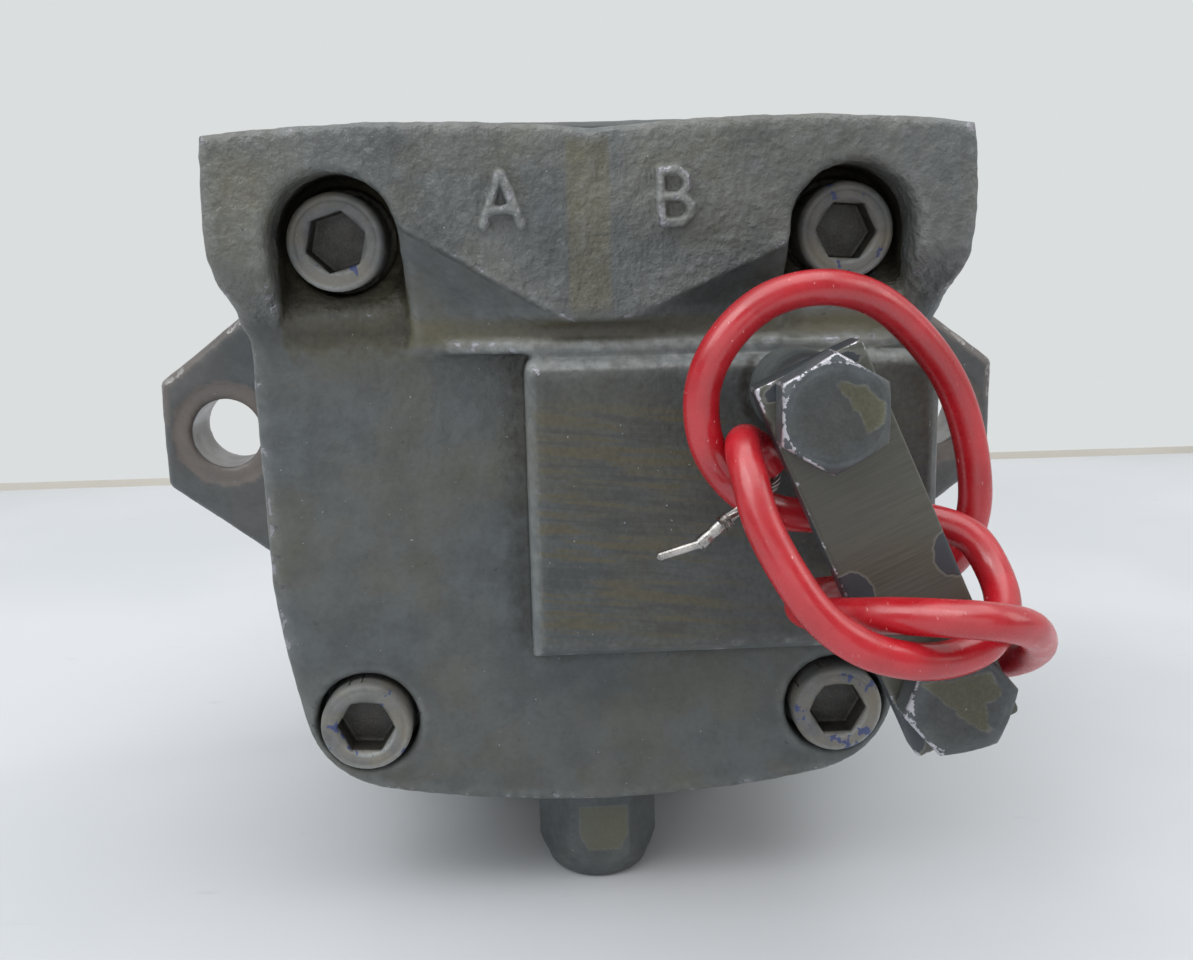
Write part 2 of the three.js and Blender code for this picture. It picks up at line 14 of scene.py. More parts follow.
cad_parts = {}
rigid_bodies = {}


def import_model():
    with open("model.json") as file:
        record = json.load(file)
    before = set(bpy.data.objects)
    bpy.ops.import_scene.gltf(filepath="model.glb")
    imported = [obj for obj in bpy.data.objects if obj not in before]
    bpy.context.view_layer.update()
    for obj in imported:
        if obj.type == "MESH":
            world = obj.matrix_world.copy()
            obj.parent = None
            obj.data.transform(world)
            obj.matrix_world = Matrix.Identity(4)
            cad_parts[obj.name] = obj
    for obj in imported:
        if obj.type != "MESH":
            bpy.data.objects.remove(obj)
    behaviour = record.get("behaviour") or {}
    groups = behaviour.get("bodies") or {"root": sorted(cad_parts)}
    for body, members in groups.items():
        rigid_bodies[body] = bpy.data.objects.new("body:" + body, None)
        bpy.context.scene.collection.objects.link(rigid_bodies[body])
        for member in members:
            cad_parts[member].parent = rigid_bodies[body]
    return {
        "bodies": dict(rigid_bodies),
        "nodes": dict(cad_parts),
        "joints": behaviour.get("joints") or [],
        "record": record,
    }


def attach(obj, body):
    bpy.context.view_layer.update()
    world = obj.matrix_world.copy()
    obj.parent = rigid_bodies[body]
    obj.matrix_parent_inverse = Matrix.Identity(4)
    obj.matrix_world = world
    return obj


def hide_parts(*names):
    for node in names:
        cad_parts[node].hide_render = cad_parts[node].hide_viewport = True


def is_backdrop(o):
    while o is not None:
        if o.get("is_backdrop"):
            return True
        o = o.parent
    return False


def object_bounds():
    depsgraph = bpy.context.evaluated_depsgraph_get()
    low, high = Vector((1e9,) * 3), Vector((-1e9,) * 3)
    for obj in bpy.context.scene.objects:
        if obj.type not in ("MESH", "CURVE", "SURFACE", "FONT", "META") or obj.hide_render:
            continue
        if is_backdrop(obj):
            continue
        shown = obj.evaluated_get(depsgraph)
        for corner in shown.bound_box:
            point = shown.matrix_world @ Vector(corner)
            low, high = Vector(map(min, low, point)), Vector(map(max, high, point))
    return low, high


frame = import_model()
cad_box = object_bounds()

TO_ROW = np.array([0.0, -57.1, 88.0])


def row(points):
    return (np.asarray(points, float) + TO_ROW) / 1000


def placed(name, data):
    """An object in the scene for a camera, light, mesh or curve."""
    thing = bpy.data.objects.new(name, data)
    bpy.context.collection.objects.link(thing)
    return thing


# ---- camera, light and stage ----

CAMERA_PLACE = (-10.3, -227.0, 47.1)
CAMERA_PITCH, CAMERA_YAW, CAMERA_ROLL = 11.36, -2.49, -1.33
CAMERA_LENS = 36.69


def make_camera():
    pitch, yaw, roll = (math.radians(a) for a in (CAMERA_PITCH, CAMERA_YAW, CAMERA_ROLL))
    level = Vector((-math.sin(yaw), math.cos(yaw), 0))
    side = Vector((math.cos(yaw), math.sin(yaw), 0))
    ahead = math.cos(pitch) * level - math.sin(pitch) * Vector((0, 0, 1))
    up = math.sin(pitch) * level + math.cos(pitch) * Vector((0, 0, 1))
    right = math.cos(roll) * side + math.sin(roll) * up
    top = math.cos(roll) * up - math.sin(roll) * side
    camera = placed("camera", bpy.data.cameras.new("camera"))
    camera.data.sensor_width = 36
    camera.data.lens = CAMERA_LENS
    camera.data.clip_start = 0.01
    matrix = Matrix((right, top, -ahead)).transposed().to_4x4()
    matrix.translation = Vector(row(CAMERA_PLACE))
    camera.matrix_world = matrix
    bpy.context.scene.camera = camera


def softbox(name, place, aim, width, height, power, colour=(1, 1, 1)):
    light = bpy.data.lights.new(name, "AREA")
    light.shape = "RECTANGLE"
    light.size, light.size_y = width, height
    light.energy = power
    light.color = colour
    lamp = placed(name, light)
    lamp.location = place
    lamp.rotation_euler = (Vector(aim) - Vector(place)).to_track_quat("-Z", "Y").to_euler()


def tone(red, green, blue):
    """A linear colour with alpha from one as it is seen on a screen, 0 to 255."""
    shown = (red, green, blue)
    return tuple(((c / 255 + 0.055) / 1.055) ** 2.4 if c > 10 else c / 3300 for c in shown) + (1,)


class NodeTree:
    """Short calls for the nodes of a tree. Each gives back an output."""

    def __init__(self, tree):
        self.nodes, self.links = tree.nodes, tree.links

    def put(self, socket, value):
        if isinstance(value, bpy.types.NodeSocket):
            self.links.new(value, socket)
        else:
            socket.default_value = value

    def new(self, kind, output, inputs, **settings):
        node = self.nodes.new(f"ShaderNode{kind}")
        for name, value in settings.items():
            setattr(node, name, value)
        for name, value in inputs.items():
            self.put(node.inputs[name], value)
        return node.outputs[output]

    def span(self, value, low, high, to_low=0.0, to_high=1.0):
        ends = {"Value": value, "From Min": low, "From Max": high, "To Min": to_low, "To Max": to_high}
        return self.new("MapRange", "Result", ends, interpolation_type="SMOOTHSTEP")

    def calc(self, operation, a, b, clamp=False):
        return self.new("Math", 0, {0: a, 1: b}, operation=operation, use_clamp=clamp)

    times = partialmethod(calc, "MULTIPLY")
    plus = partialmethod(calc, "ADD")
    minus = partialmethod(calc, "SUBTRACT")

    def ragged(self, mask, grain, amount):
        """A mask whose border is broken up by a noise."""
        return self.plus(mask, self.times(self.minus(grain, 0.5), amount))

    def blend(self, share, a, b):
        return self.new("Mix", 2, {0: share, 6: a, 7: b}, data_type="RGBA")


class Shader(NodeTree):
    """A material. Its noise is fixed to the object's own coordinates."""

    def __init__(self, name):
        self.material = bpy.data.materials.new(name)
        self.material.use_nodes = True
        super().__init__(self.material.node_tree)
        self.place = self.new("TexCoord", "Object", {})

    def attribute(self, name):
        return self.new("Attribute", "Fac", {}, attribute_name=name)

    def noise(self, size, detail=3, rough=0.5, stretch=(1, 1, 1), turn=0.0, shift=0.0):
        """Noise whose grains are that many millimetres across, times the stretch along each axis."""
        frame = {"Vector": self.place, "Scale": stretch, "Rotation": (0, turn, 0), "Location": (shift,) * 3}
        place = self.new("Mapping", "Vector", frame, vector_type="TEXTURE")
        values = {"Vector": place, "Scale": 1000 / size, "Detail": detail, "Roughness": rough}
        return self.new("TexNoise", "Fac", values)

    def bump(self, height, depth, strength=1.0, under=None):
        """A bump of that depth in millimetres, over another one."""
        values = {"Height": height, "Distance": depth / 1000, "Strength": strength}
        return self.new("Bump", "Normal", values | ({"Normal": under} if under else {}))

    def look(self, colour, rough, normal=None, metal=0.0, specular=0.5):
        """The material, with these on its surface."""
        values = {"Base Color": colour, "Roughness": rough, "Metallic": metal, "Specular IOR Level": specular}
        for name, value in (values | ({"Normal": normal} if normal else {})).items():
            self.put(self.nodes["Principled BSDF"].inputs[name], value)
        return self.material


TABLE_EDGE, SKIRTING = 0.412, 0.0042


def stage_sheet(name, corners, material):
    mesh = bpy.data.meshes.new(name)
    mesh.from_pydata(corners, [], [range(len(corners))])
    mesh.materials.append(material)
    placed(name, mesh)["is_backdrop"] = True


def make_stage():
    """A pale table up to the wall, and the skirting on it."""
    shader = Shader("table_top")
    cloud = shader.noise(180, 3)
    scuff = shader.span(shader.noise(26, 4, 0.6, stretch=(1, 0.3, 1)), 0.66, 0.74, 0, 0.35)
    colour = shader.blend(shader.span(cloud, 0.35, 0.65), tone(202, 205, 209), tone(210, 212, 216))
    colour = shader.blend(scuff, colour, tone(186, 189, 196))
    rough = shader.span(cloud, 0.3, 0.7, 0.42, 0.52)
    top = shader.look(colour, rough, specular=0.35)
    stage_sheet("table", [(-2.5, -2.5, 0), (2.5, -2.5, 0), (2.5, TABLE_EDGE, 0), (-2.5, TABLE_EDGE, 0)], top)
    shader = Shader("skirting")
    colour = shader.blend(shader.noise(60), tone(196, 190, 180), tone(214, 209, 200))
    corners = [(x, TABLE_EDGE, z) for x, z in ((-2.5, 0), (2.5, 0), (2.5, SKIRTING), (-2.5, SKIRTING))]
    stage_sheet("skirting", corners, shader.look(colour, 0.7))


WALL_COLOUR = tone(219, 222, 222)


def make_world():
    """A pale room: bright above and behind the motor, dimmer on the camera's side. The wall that the camera
    sees keeps one strength."""
    world = bpy.data.worlds.new("room")
    world.use_nodes = True
    bpy.context.scene.world = world
    tree = NodeTree(world.node_tree)
    place = tree.new("TexCoord", "Generated", {})
    forward, upward = (tree.new("SeparateXYZ", axis, {0: place}) for axis in ("Y", "Z"))
    glow = tree.times(tree.span(forward, -0.8, 0.7, 0.42, 1.0), tree.span(upward, -0.8, 0.7, 0.55, 1.0))
    seen = tree.new("LightPath", "Is Camera Ray", {})
    background = tree.nodes["Background"]
    tree.put(background.inputs["Color"], WALL_COLOUR)
    tree.put(background.inputs["Strength"], tree.span(seen, 0, 1, glow, 1.0))


make_camera()
make_world()
make_stage()
softbox("window", (-0.85, -0.6, 1.1), (0, 0, 0.08), 1.1, 0.9, 9, (0.96, 0.99, 1.0))
softbox("ceiling", (0.1, -0.3, 1.5), (0, 0, 0.05), 1.8, 1.4, 15)
softbox("side", (1.2, -0.3, 0.7), (0, 0, 0.08), 0.7, 0.8, 3, (1.0, 0.98, 0.95))
softbox("fill", (-0.25, -1.35, 0.4), (0, 0, 0.04), 1.5, 0.7, 3)
bpy.context.scene.view_settings.view_transform = "Standard"

# ---- the red lead ----

LEAD_RADIUS = 3.0
LEAD_ROUTE = [
    (28.4, -25.8, 8.2), (25.9, -27.4, 11.1), (22.7, -31.8, 13.4), (21.6, -37.0, 12.6),
    (21.9, -41.8, 8.6), (23.0, -45.2, 3.2), (26.6, -48.6, -4.4), (31.4, -50.4, -11.2),
    (38.2, -51.0, -16.2), (45.4, -50.8, -18.4), (52.6, -48.2, -19.3), (59.0, -45.4, -18.0),
    (64.4, -38.2, -15.0), (65.4, -31.4, -10.6), (62.6, -26.8, -5.2), (55.6, -24.4, -2.6),
    (47.0, -23.2, -1.8), (38.0, -22.8, -1.6), (29.4, -23.2, -0.4), (21.4, -26.8, 5.4),
    (16.6, -29.6, 13.2), (15.9, -30.6, 22.1), (19.2, -31.0, 29.8), (26.4, -30.0, 36.0),
    (35.6, -28.0, 38.0), (44.9, -25.0, 36.0), (53.8, -21.0, 29.6), (61.8, -17.4, 19.8),
    (66.4, -15.4, 7.6), (67.2, -15.4, -3.4), (63.6, -16.2, -11.8), (54.6, -17.0, -16.0),
    (44.2, -19.2, -16.4), (36.2, -24.2, -15.6), (32.6, -31.0, -15.4), (34.0, -37.4, -14.8),
    (38.2, -42.4, -13.6), (43.4, -47.0, -12.3), (49.6, -51.6, -11.4), (56.2, -54.0, -11.4),
    (62.6, -51.2, -13.4), (67.6, -44.8, -17.4), (70.6, -37.0, -22.2), (70.2, -30.4, -26.2),
    (66.8, -25.2, -28.8), (61.0, -22.4, -30.2), (54.6, -21.4, -30.2),
]


def smooth_route(points, per_span):
    """Points along a centripetal Catmull-Rom curve through the given ones."""
    given = np.asarray(points, float)
    whole = np.vstack([2 * given[0] - given[1], given, 2 * given[-1] - given[-2]])
    found = []
    for p0, p1, p2, p3 in zip(whole, whole[1:], whole[2:], whole[3:]):
        t1, t2, t3 = np.cumsum([np.linalg.norm(b - a) ** 0.5 for a, b in ((p0, p1), (p1, p2), (p2, p3))])
        for t in t1 + (t2 - t1) * np.arange(per_span) / per_span:
            a1 = p0 + (p1 - p0) * t / t1
            a2 = p1 + (p2 - p1) * (t - t1) / (t2 - t1)
            a3 = p2 + (p3 - p2) * (t - t2) / (t3 - t2)
            b1 = a1 + (a2 - a1) * t / t2
            b2 = a2 + (a3 - a2) * (t - t1) / (t3 - t1)
            found.append(b1 + (b2 - b1) * (t - t1) / (t2 - t1))
    return np.array([*found, given[-1]])


def red_jacket():
    shader = Shader("red_jacket")
    cloud = shader.noise(9, 3)
    lint = shader.span(shader.noise(0.5, 2, 0.6, stretch=(1, 2.2, 3.2)), 0.72, 0.75)
    haze = shader.span(shader.noise(2.4, 4, 0.7), 0.6, 0.8, 0, 0.3)
    colour = shader.blend(shader.span(cloud, 0.3, 0.7), tone(168, 18, 30), tone(188, 30, 42))
    colour = shader.blend(haze, colour, tone(208, 78, 84))
    colour = shader.blend(shader.times(lint, 0.75), colour, tone(238, 178, 178))
    rough = shader.span(shader.noise(3.5, 4), 0.3, 0.7, 0.22, 0.34)
    normal = shader.bump(shader.noise(0.8, 3), 0.02, under=shader.bump(shader.noise(14, 2), 0.25))
    return shader.look(colour, rough, normal, specular=0.9)


def make_lead():
    route = row(smooth_route(LEAD_ROUTE, 8))
    curve = bpy.data.curves.new("lead_jacket", "CURVE")
    curve.dimensions = "3D"
    spline = curve.splines.new("POLY")
    spline.points.add(len(route) - 1)
    spline.points.foreach_set("co", np.hstack([route, np.ones((len(route), 1))]).ravel())
    spline.use_smooth = True
    curve.bevel_depth = LEAD_RADIUS / 1000
    curve.bevel_resolution = 8
    curve.use_fill_caps = True
    curve.materials.append(red_jacket())
    return placed("lead_jacket", curve), float(np.linalg.norm(np.diff(route, axis=0), axis=1).sum())


lead, lead_length = make_lead()

# ---- solids from distance fields ----
# A field gives about the distance from each point to a solid, in mm, negative inside.


def smooth_max(a, b, reach):
    share = np.clip(0.5 + 0.5 * (a - b) / reach, 0, 1)
    return a * share + b * (1 - share) + reach * share * (1 - share)


def smooth_min(a, b, reach):
    return -smooth_max(-a, -b, reach)


def outline_distance(corners, across, up):
    """Distance in a plane to a closed outline."""
    across, up = np.broadcast_arrays(across, up)
    nearest = np.full(across.shape, 1e9)
    outside = np.ones(across.shape)
    for (ax, az), (bx, bz) in zip(corners, [*corners[1:], corners[0]]):
        ex, ez = bx - ax, bz - az
        wx, wz = across - ax, up - az
        share = np.clip((wx * ex + wz * ez) / (ex * ex + ez * ez), 0, 1)
        nearest = np.minimum(nearest, (wx - ex * share) ** 2 + (wz - ez * share) ** 2)
        tests = np.stack([up >= az, up < bz, ex * wz > ez * wx])
        outside = np.where(tests.all(axis=0) | ~tests.any(axis=0), -outside, outside)
    return outside * np.sqrt(nearest)


def stroke_distance(corners, across, up):
    """Distance in a plane to an open line through the corners."""
    nearest = 1e9
    for (ax, az), (bx, bz) in zip(corners, corners[1:]):
        ex, ez = bx - ax, bz - az
        share = np.clip(((across - ax) * ex + (up - az) * ez) / (ex * ex + ez * ez), 0, 1)
        nearest = np.minimum(nearest, np.hypot(across - ax - ex * share, up - az - ez * share))
    return nearest


def hexagon_distance(flats, across, up, turn=0.0):
    """Distance in a plane to a hexagon, with two corners straight up and down when turn is 0."""
    sides = [turn + i * math.pi / 3 for i in range(6)]
    return reduce(np.maximum, [across * math.cos(a) + up * math.sin(a) for a in sides]) - flats / 2


def slab(low, high, value):
    return np.abs(value - (low + high) / 2) - (high - low) / 2


def carved(body, hole, reach=0.0):
    """A body less a hole, with the hole's edge rounded over the reach."""
    return smooth_max(body, -hole, reach) if reach else np.maximum(body, -hole)


def smooth_step(share):
    share = np.clip(share, 0, 1)
    return share * share * (3 - 2 * share)


def near(value, middle, half, soft):
    """1 within half of the middle, fading to 0 over the soft distance."""
    return np.clip((half - np.abs(value - middle)) / soft + 0.5, 0, 1)


def axis_steps(*runs):
    """Grid places from (start, stop, step) runs that join up."""
    places = []
    for start, stop, step in runs:
        run = np.linspace(start, stop, max(2, round((stop - start) / step) + 1))
        places.extend(run[1:] if places else run)
    return np.array(places)


def box_blur(values, reach):
    """Mean of the values within reach cells along each axis, twice over."""
    width = 2 * reach + 1
    for axis in (0, 1, 2) * 2:
        pad = [(reach + 1, reach) if i == axis else (0, 0) for i in range(3)]
        total = np.cumsum(np.pad(values, pad, mode="edge"), axis=axis, dtype=np.float64)
        ahead = np.take(total, range(width, total.shape[axis]), axis=axis)
        behind = np.take(total, range(total.shape[axis] - width), axis=axis)
        values = ((ahead - behind) / width).astype(np.float32)
    return values


def mixed(values, low, part):
    """Values between the eight corners of a grid's cells, at parts of the way across them."""
    total = 0
    for corner in np.ndindex(2, 2, 2):
        weight = np.prod(np.where(corner, part, 1 - part), axis=1)
        total = total + weight * values[tuple(((low + corner) % values.shape).T)]
    return total


def sample(values, at):
    """Values of a grid at places counted in cells."""
    low = np.minimum(at.astype(int), np.array(values.shape) - 2)
    return mixed(values, low, at - low)


def gathered(faces, values, count):
    """For each point, the sum of the values of the quads that meet there."""
    return np.stack([np.bincount(faces.ravel(), np.repeat(v, 4), count) for v in values.T], axis=1)


def surface_net(values):
    """Points, in cells, and quads of the surface where a grid of values is zero."""
    cells = np.array(values.shape) - 1
    stride = np.array([cells[1] * cells[2], cells[2], 1])
    quads, crossings = [], []
    for axis in range(3):
        u, v = (axis + 1) % 3, (axis + 2) % 3
        here = values[tuple(slice(None, -1) if i == axis else slice(None) for i in range(3))]
        there = values[tuple(slice(1, None) if i == axis else slice(None) for i in range(3))]
        at = np.argwhere((here < 0) != (there < 0))
        at = at[(at[:, u] > 0) & (at[:, v] > 0) & (at[:, u] < cells[u]) & (at[:, v] < cells[v])]
        a, b = here[tuple(at.T)], there[tuple(at.T)]
        point = at.astype(float)
        point[:, axis] += a / (a - b)
        around = []
        for du, dv in ((0, 0), (1, 0), (1, 1), (0, 1)):
            cell = at.copy()
            cell[:, u] -= du
            cell[:, v] -= dv
            around.append(cell @ stride)
        quad = np.stack(around, axis=1)
        quad[a > 0] = quad[a > 0][:, ::-1]
        quads.append(quad)
        crossings.append(point)
    quads, crossings = np.vstack(quads), np.vstack(crossings)
    used, index = np.unique(quads, return_inverse=True)
    index = index.reshape(quads.shape)
    count = np.bincount(index.ravel(), minlength=len(used))
    return gathered(index, crossings, len(used)) / count[:, None], index


def lattice_noise(points, size, seed):
    """Smooth noise from -1 to 1 with grains of that size."""
    table = np.random.default_rng(seed).uniform(-1, 1, (32, 32, 32))
    low = np.floor(points / size).astype(int)
    return mixed(table, low, smooth_step(points / size - low))


def vertex_normals(points, faces):
    across = points[faces[:, 2]] - points[faces[:, 0]]
    along = points[faces[:, 3]] - points[faces[:, 1]]
    total = gathered(faces, np.cross(across, along), len(points))
    return total / np.maximum(np.linalg.norm(total, axis=1, keepdims=True), 1e-12)


def finished(name, points, faces, masks, material, sharp=None):
    """An object from points in mm and faces that all have as many corners as each other."""
    mesh = bpy.data.meshes.new(name)
    corners = faces.shape[1]
    mesh.vertices.add(len(points))
    mesh.vertices.foreach_set("co", row(points).astype(np.float32).ravel())
    mesh.loops.add(faces.size)
    mesh.loops.foreach_set("vertex_index", faces.astype(np.int32).ravel())
    mesh.polygons.add(len(faces))
    mesh.polygons.foreach_set("loop_start", np.arange(0, faces.size, corners, dtype=np.int32))
    mesh.update(calc_edges=True)
    mesh.validate()
    mesh.shade_smooth()
    if sharp:
        mesh.set_sharp_from_angle(angle=math.radians(sharp))
    for mask, values in masks.items():
        layer = mesh.attributes.new(mask, "FLOAT", "POINT")
        layer.data.foreach_set("value", np.asarray(values, np.float32))
    mesh.materials.append(material)
    return placed(name, mesh)


def sculpt(field, axes, edge=0.2, hollow=0.8, reach=4):
    """The surface of a field as points in mm and quads, with masks for its paint: wear on outer edges, and
    dirty paint with painted shade in hollows."""
    grid = np.meshgrid(*axes, indexing="ij", sparse=True)
    shape = tuple(len(a) for a in axes)
    values = np.clip(np.broadcast_to(field(*grid), shape), -6, 6).astype(np.float32)
    at, faces = surface_net(values)
    points = np.stack([np.interp(at[:, i], np.arange(len(axes[i])), axes[i]) for i in range(3)], axis=1)
    masks = {
        "wear": np.clip(sample(box_blur(values, 1), at) / edge, 0, 1),
        # Painted shade: hollows, found by blurring the field, get a mask that darkens their paint; it also
        # stands for soiling there.
        "grime": np.clip(-sample(box_blur(values, reach), at) / hollow, 0, 1),
    }
    return points, faces, masks


def roughened(points, faces, coarse, fine=0.0, grain=2.2, seed=3):
    """Moves the points along their normals as sand-cast iron and thick paint do."""
    normal = vertex_normals(points, faces)
    lump = lattice_noise(points, grain, seed) + 0.5 * lattice_noise(points, grain * 0.45, seed + 1)
    swell = lattice_noise(points, grain * 6, seed + 2)
    return points + normal * (coarse * lump + fine * swell)[:, None]


# ---- materials ----


def painted(name, paint, under, bare, scale=1.0, chip=0.5, cloudy=0.5, marks=None):
    """Worn paint over an undercoat on metal. The masks say where it is worn, where it shows its undercoat,
    where it is soiled and darkened as painted shade and where painted highlights pale it, and marks is the
    colour of pen marks on it."""
    shader = Shader(name)
    wear, grime, tint, streak = (shader.attribute(mask) for mask in ("wear", "grime", "tint", "streak"))
    cloud = shader.noise(24 * scale, 4, 0.6)
    drift = shader.noise(8 * scale, 5, 0.68, shift=3.1)
    grit = shader.noise(1.1 * scale, 3, 0.6)
    flake = shader.noise(2.6 * scale, 4, 0.62, shift=1.7)
    lines = shader.noise(1.6, 5, 0.6, stretch=(14, 2, 1), turn=0.1)
    dark, light = (tuple(c * f for c in tone(*paint)[:3]) + (1,) for f in (0.8, 1.13))
    colour = shader.blend(shader.span(drift, 0.34, 0.66), dark, light)
    # Where the undercoat shows: cloudy patches, the tint mask and the streaks. On the screws and the plug the
    # tint mask also lightens their lit sides as a painted highlight.
    undercoat_share = shader.plus(shader.times(shader.span(cloud, 0.42, 0.66), cloudy), tint)
    undercoat_share = shader.plus(undercoat_share, shader.times(shader.span(lines, 0.5, 0.59), streak), clamp=True)
    colour = shader.blend(undercoat_share, colour, tone(*under))
    smudge = shader.times(shader.span(lines, 0.4, 0.5, 0.32, 0), streak)
    colour = shader.blend(smudge, colour, tone(50, 52, 50))
    # Painted glints: the tops of the lumps in thick paint are paled as highlights, and the same lumps bump
    # the surface.
    lumps_and_glints = shader.times(shader.noise(1.9, 3, 0.55, shift=4.4), shader.attribute("peel"))
    colour = shader.blend(shader.span(lumps_and_glints, 0.5, 0.7, 0, 0.2), colour, tone(128, 131, 132))
    # Painted highlight from the pale mask: edges and faces that catch the light are paled with a flaky grain.
    # On the bolts the same mask pales the outlines of their paint patches.
    gleam = shader.times(shader.attribute("pale"), shader.span(flake, 0.3, 0.6, 0.5, 1))
    colour = shader.blend(gleam, colour, tone(146, 149, 148))
    # Soiled paint and painted shade: hollows, and spots of a fine grit, are darkened towards a dark brown.
    dirt_and_shade = shader.times(shader.plus(grime, shader.span(grit, 0.3, 0.7, -0.12, 0.12)), 0.86, clamp=True)
    colour = shader.blend(dirt_and_shade, colour, tone(34, 31, 24))
    lifted = shader.span(shader.plus(flake, shader.times(wear, 0.12)), 0.72, 0.735, 0, chip)
    colour = shader.blend(lifted, colour, tone(54, 58, 66))
    worn = shader.span(shader.ragged(wear, flake, 1.6), 0.86, 0.96)
    colour = shader.blend(worn, colour, tone(*bare))
    speck = shader.span(shader.noise(0.8, 2, 0.5, shift=7.7), 0.765, 0.78, 0, 0.6)
    colour = shader.blend(speck, colour, tone(178, 180, 184))
    if marks:
        trace = shader.span(shader.noise(4.5, 3, 0.6, shift=0.9), 0.63, 0.65, 0, 0.8)
        colour = shader.blend(shader.times(trace, shader.attribute("marker")), colour, tone(*marks))
    rough = shader.span(shader.noise(6 * scale, 3), 0.3, 0.7, 0.35, 0.52)
    rough = shader.minus(rough, shader.times(lifted, 0.25))
    height = shader.minus(shader.times(grit, 0.35), shader.plus(lifted, worn))
    normal = shader.bump(height, 0.1, 0.9, under=shader.bump(lumps_and_glints, 0.95))
    scratch = shader.times(shader.noise(2.2, 3, 0.6, stretch=(20, 1, 1), turn=0.11), streak)
    normal = shader.bump(scratch, 0.12, under=normal)
    metal = shader.times(worn, 0.75)
    return shader.look(colour, rough, normal, metal, specular=0.45)


def metal_finish(name, dark, light, rough, grain=0.5, stretch=(1, 1, 1), metallic=1.0, depth=0.01):
    """Plain metal, rubber or plated surfaces with fine grain and a little staining."""
    shader = Shader(name)
    lines = shader.noise(grain, 4, 0.6, stretch=stretch)
    stain = shader.noise(7, 4, 0.6)
    share = shader.plus(shader.times(lines, 0.4), shader.times(stain, 0.6))
    colour = shader.blend(shader.span(share, 0.35, 0.65), tone(*dark), tone(*light))
    gloss = shader.span(stain, 0.3, 0.7, rough - 0.06, rough + 0.1)
    return shader.look(colour, gloss, shader.bump(lines, depth), metallic)


CAST_PAINT = painted("cast_paint", (82, 87, 89), (93, 89, 72), (150, 150, 155), cloudy=0.4)
HOUSING_PAINT = painted("housing_paint", (80, 84, 86), (112, 103, 98), (150, 147, 146), chip=0.3, cloudy=0.1)
FASTENER_PAINT = painted(
    "fastener_paint", (78, 83, 86), (98, 97, 78), (186, 185, 192), scale=0.5, chip=0.6, cloudy=0.2,
)
SCREW_PAINT = painted(
    "screw_paint", (104, 106, 106), (122, 116, 104), (180, 180, 182), scale=0.4, chip=0.4, cloudy=0.45,
    marks=(44, 62, 118),
)
PLATED = metal_finish("plated_pin", (132, 130, 128), (196, 192, 188), 0.27, grain=0.3)
GROUND = metal_finish("ground_steel", (150, 152, 156), (184, 186, 190), 0.26, grain=0.4, stretch=(1, 0.2, 1))
HARDENED = metal_finish("hardened_steel", (96, 98, 103), (148, 150, 155), 0.32)
BRONZE = metal_finish("sintered_bronze", (132, 98, 46), (186, 146, 82), 0.4)
COPPER = metal_finish("annealed_copper", (128, 74, 52), (190, 122, 92), 0.38)
RUBBER = metal_finish("nitrile_rubber", (20, 20, 21), (44, 43, 42), 0.6, metallic=0.0, depth=0.03)


# ---- rear cap ----

UPPER_FACE, PAD_FACE, LOWER_FACE, PARTING_FACE = -9.0, -8.0, 3.0, 44.0
ROOT = 8.0  # y inside the body, where the forms that stand on it end
BLOCK_BOTTOM = 32.0
PAD_LEFT, PAD_RIGHT, PAD_BOTTOM, PAD_TOP = -13.5, 63.5, -31.5, 25.5
SCREW_PITCH = 47.0  # from the shaft axis to each cap screw, both ways
SCREW_HOLE, BORE_RADIUS, BORE_SEAT = 6.8, 10.1, 12.3
POCKET_X, POCKET_TOP, POCKET_BOTTOM, POCKET_RADIUS = 46.3, 47.5, 29.0, 11.4
PORT_X, PORT_Y, PORT_RADIUS, PORT_END = 27.0, 24.0, 12.0, 28.0
SPOT_RADIUS, SPOT_FLOOR = 19.0, 64.8
ARM_X, ARM_Z, ARM_TILT = 35.2, 19.0, math.radians(24)
PLUG_X, PLUG_Y, PLUG_END, PLUG_TOP = -1.0, 22.0, -87.85, -52.0
WASHER_BOTTOM = -67.8


def curved(start, *runs, steps=7):
    """An outline from a start and (control, end) quadratic runs, or (end,) straight ones."""
    points = [np.array(start, float)]
    for *control, end in runs:
        end = np.array(end, float)
        if not control:
            points.append(end)
            continue
        begin, middle = points[-1], np.array(control[0], float)
        for t in np.arange(1, steps + 1) / steps:
            points.append((1 - t) ** 2 * begin + 2 * t * (1 - t) * middle + t * t * end)
    return [tuple(p) for p in points]


def cap_outline():
    right = curved(
        (0, -66), ((26, -65.4), (45, -61.5)), ((57.5, -58), (59.5, -46)), ((62.5, -32), (64, -18)),
        ((64.5, 22),), ((63.6, 30), (67.4, 40)), ((69.6, 51), (67.8, 65.4)), ((38, 69), (0, 65.6)),
    )
    left = [(-x, z) for x, z in reversed(right[1:-1])]
    return right + left


LETTER_A = ([(-19.6, 49.2), (-16.6, 57.8), (-16.2, 57.8), (-12.9, 49.2)], [(-18.2, 51.9), (-14.2, 51.9)])
LETTER_B = (
    [(11.4, 57.9), (11.8, 49.2), (15.0, 49.1), (16.7, 50.3), (16.8, 52.2), (15.4, 53.5), (12.0, 53.6)],
    [(11.4, 57.9), (14.3, 58.0), (16.0, 57.0), (16.2, 55.2), (15.2, 53.9)],
)


def letters_distance(x, z):
    return reduce(np.minimum, [stroke_distance(line, x, z) for line in LETTER_A + LETTER_B])


def below_the_v(x, z):
    """How far a point lies outside the V that bounds the lettered face."""
    right = ((x - 2.2) * 14.2 - (z - 31.4) * 32.3) / 35.3
    left = ((-5 - x) * 17.2 - (z - 32.5) * 29.0) / 33.7
    return np.maximum(np.maximum(left, right), 0)


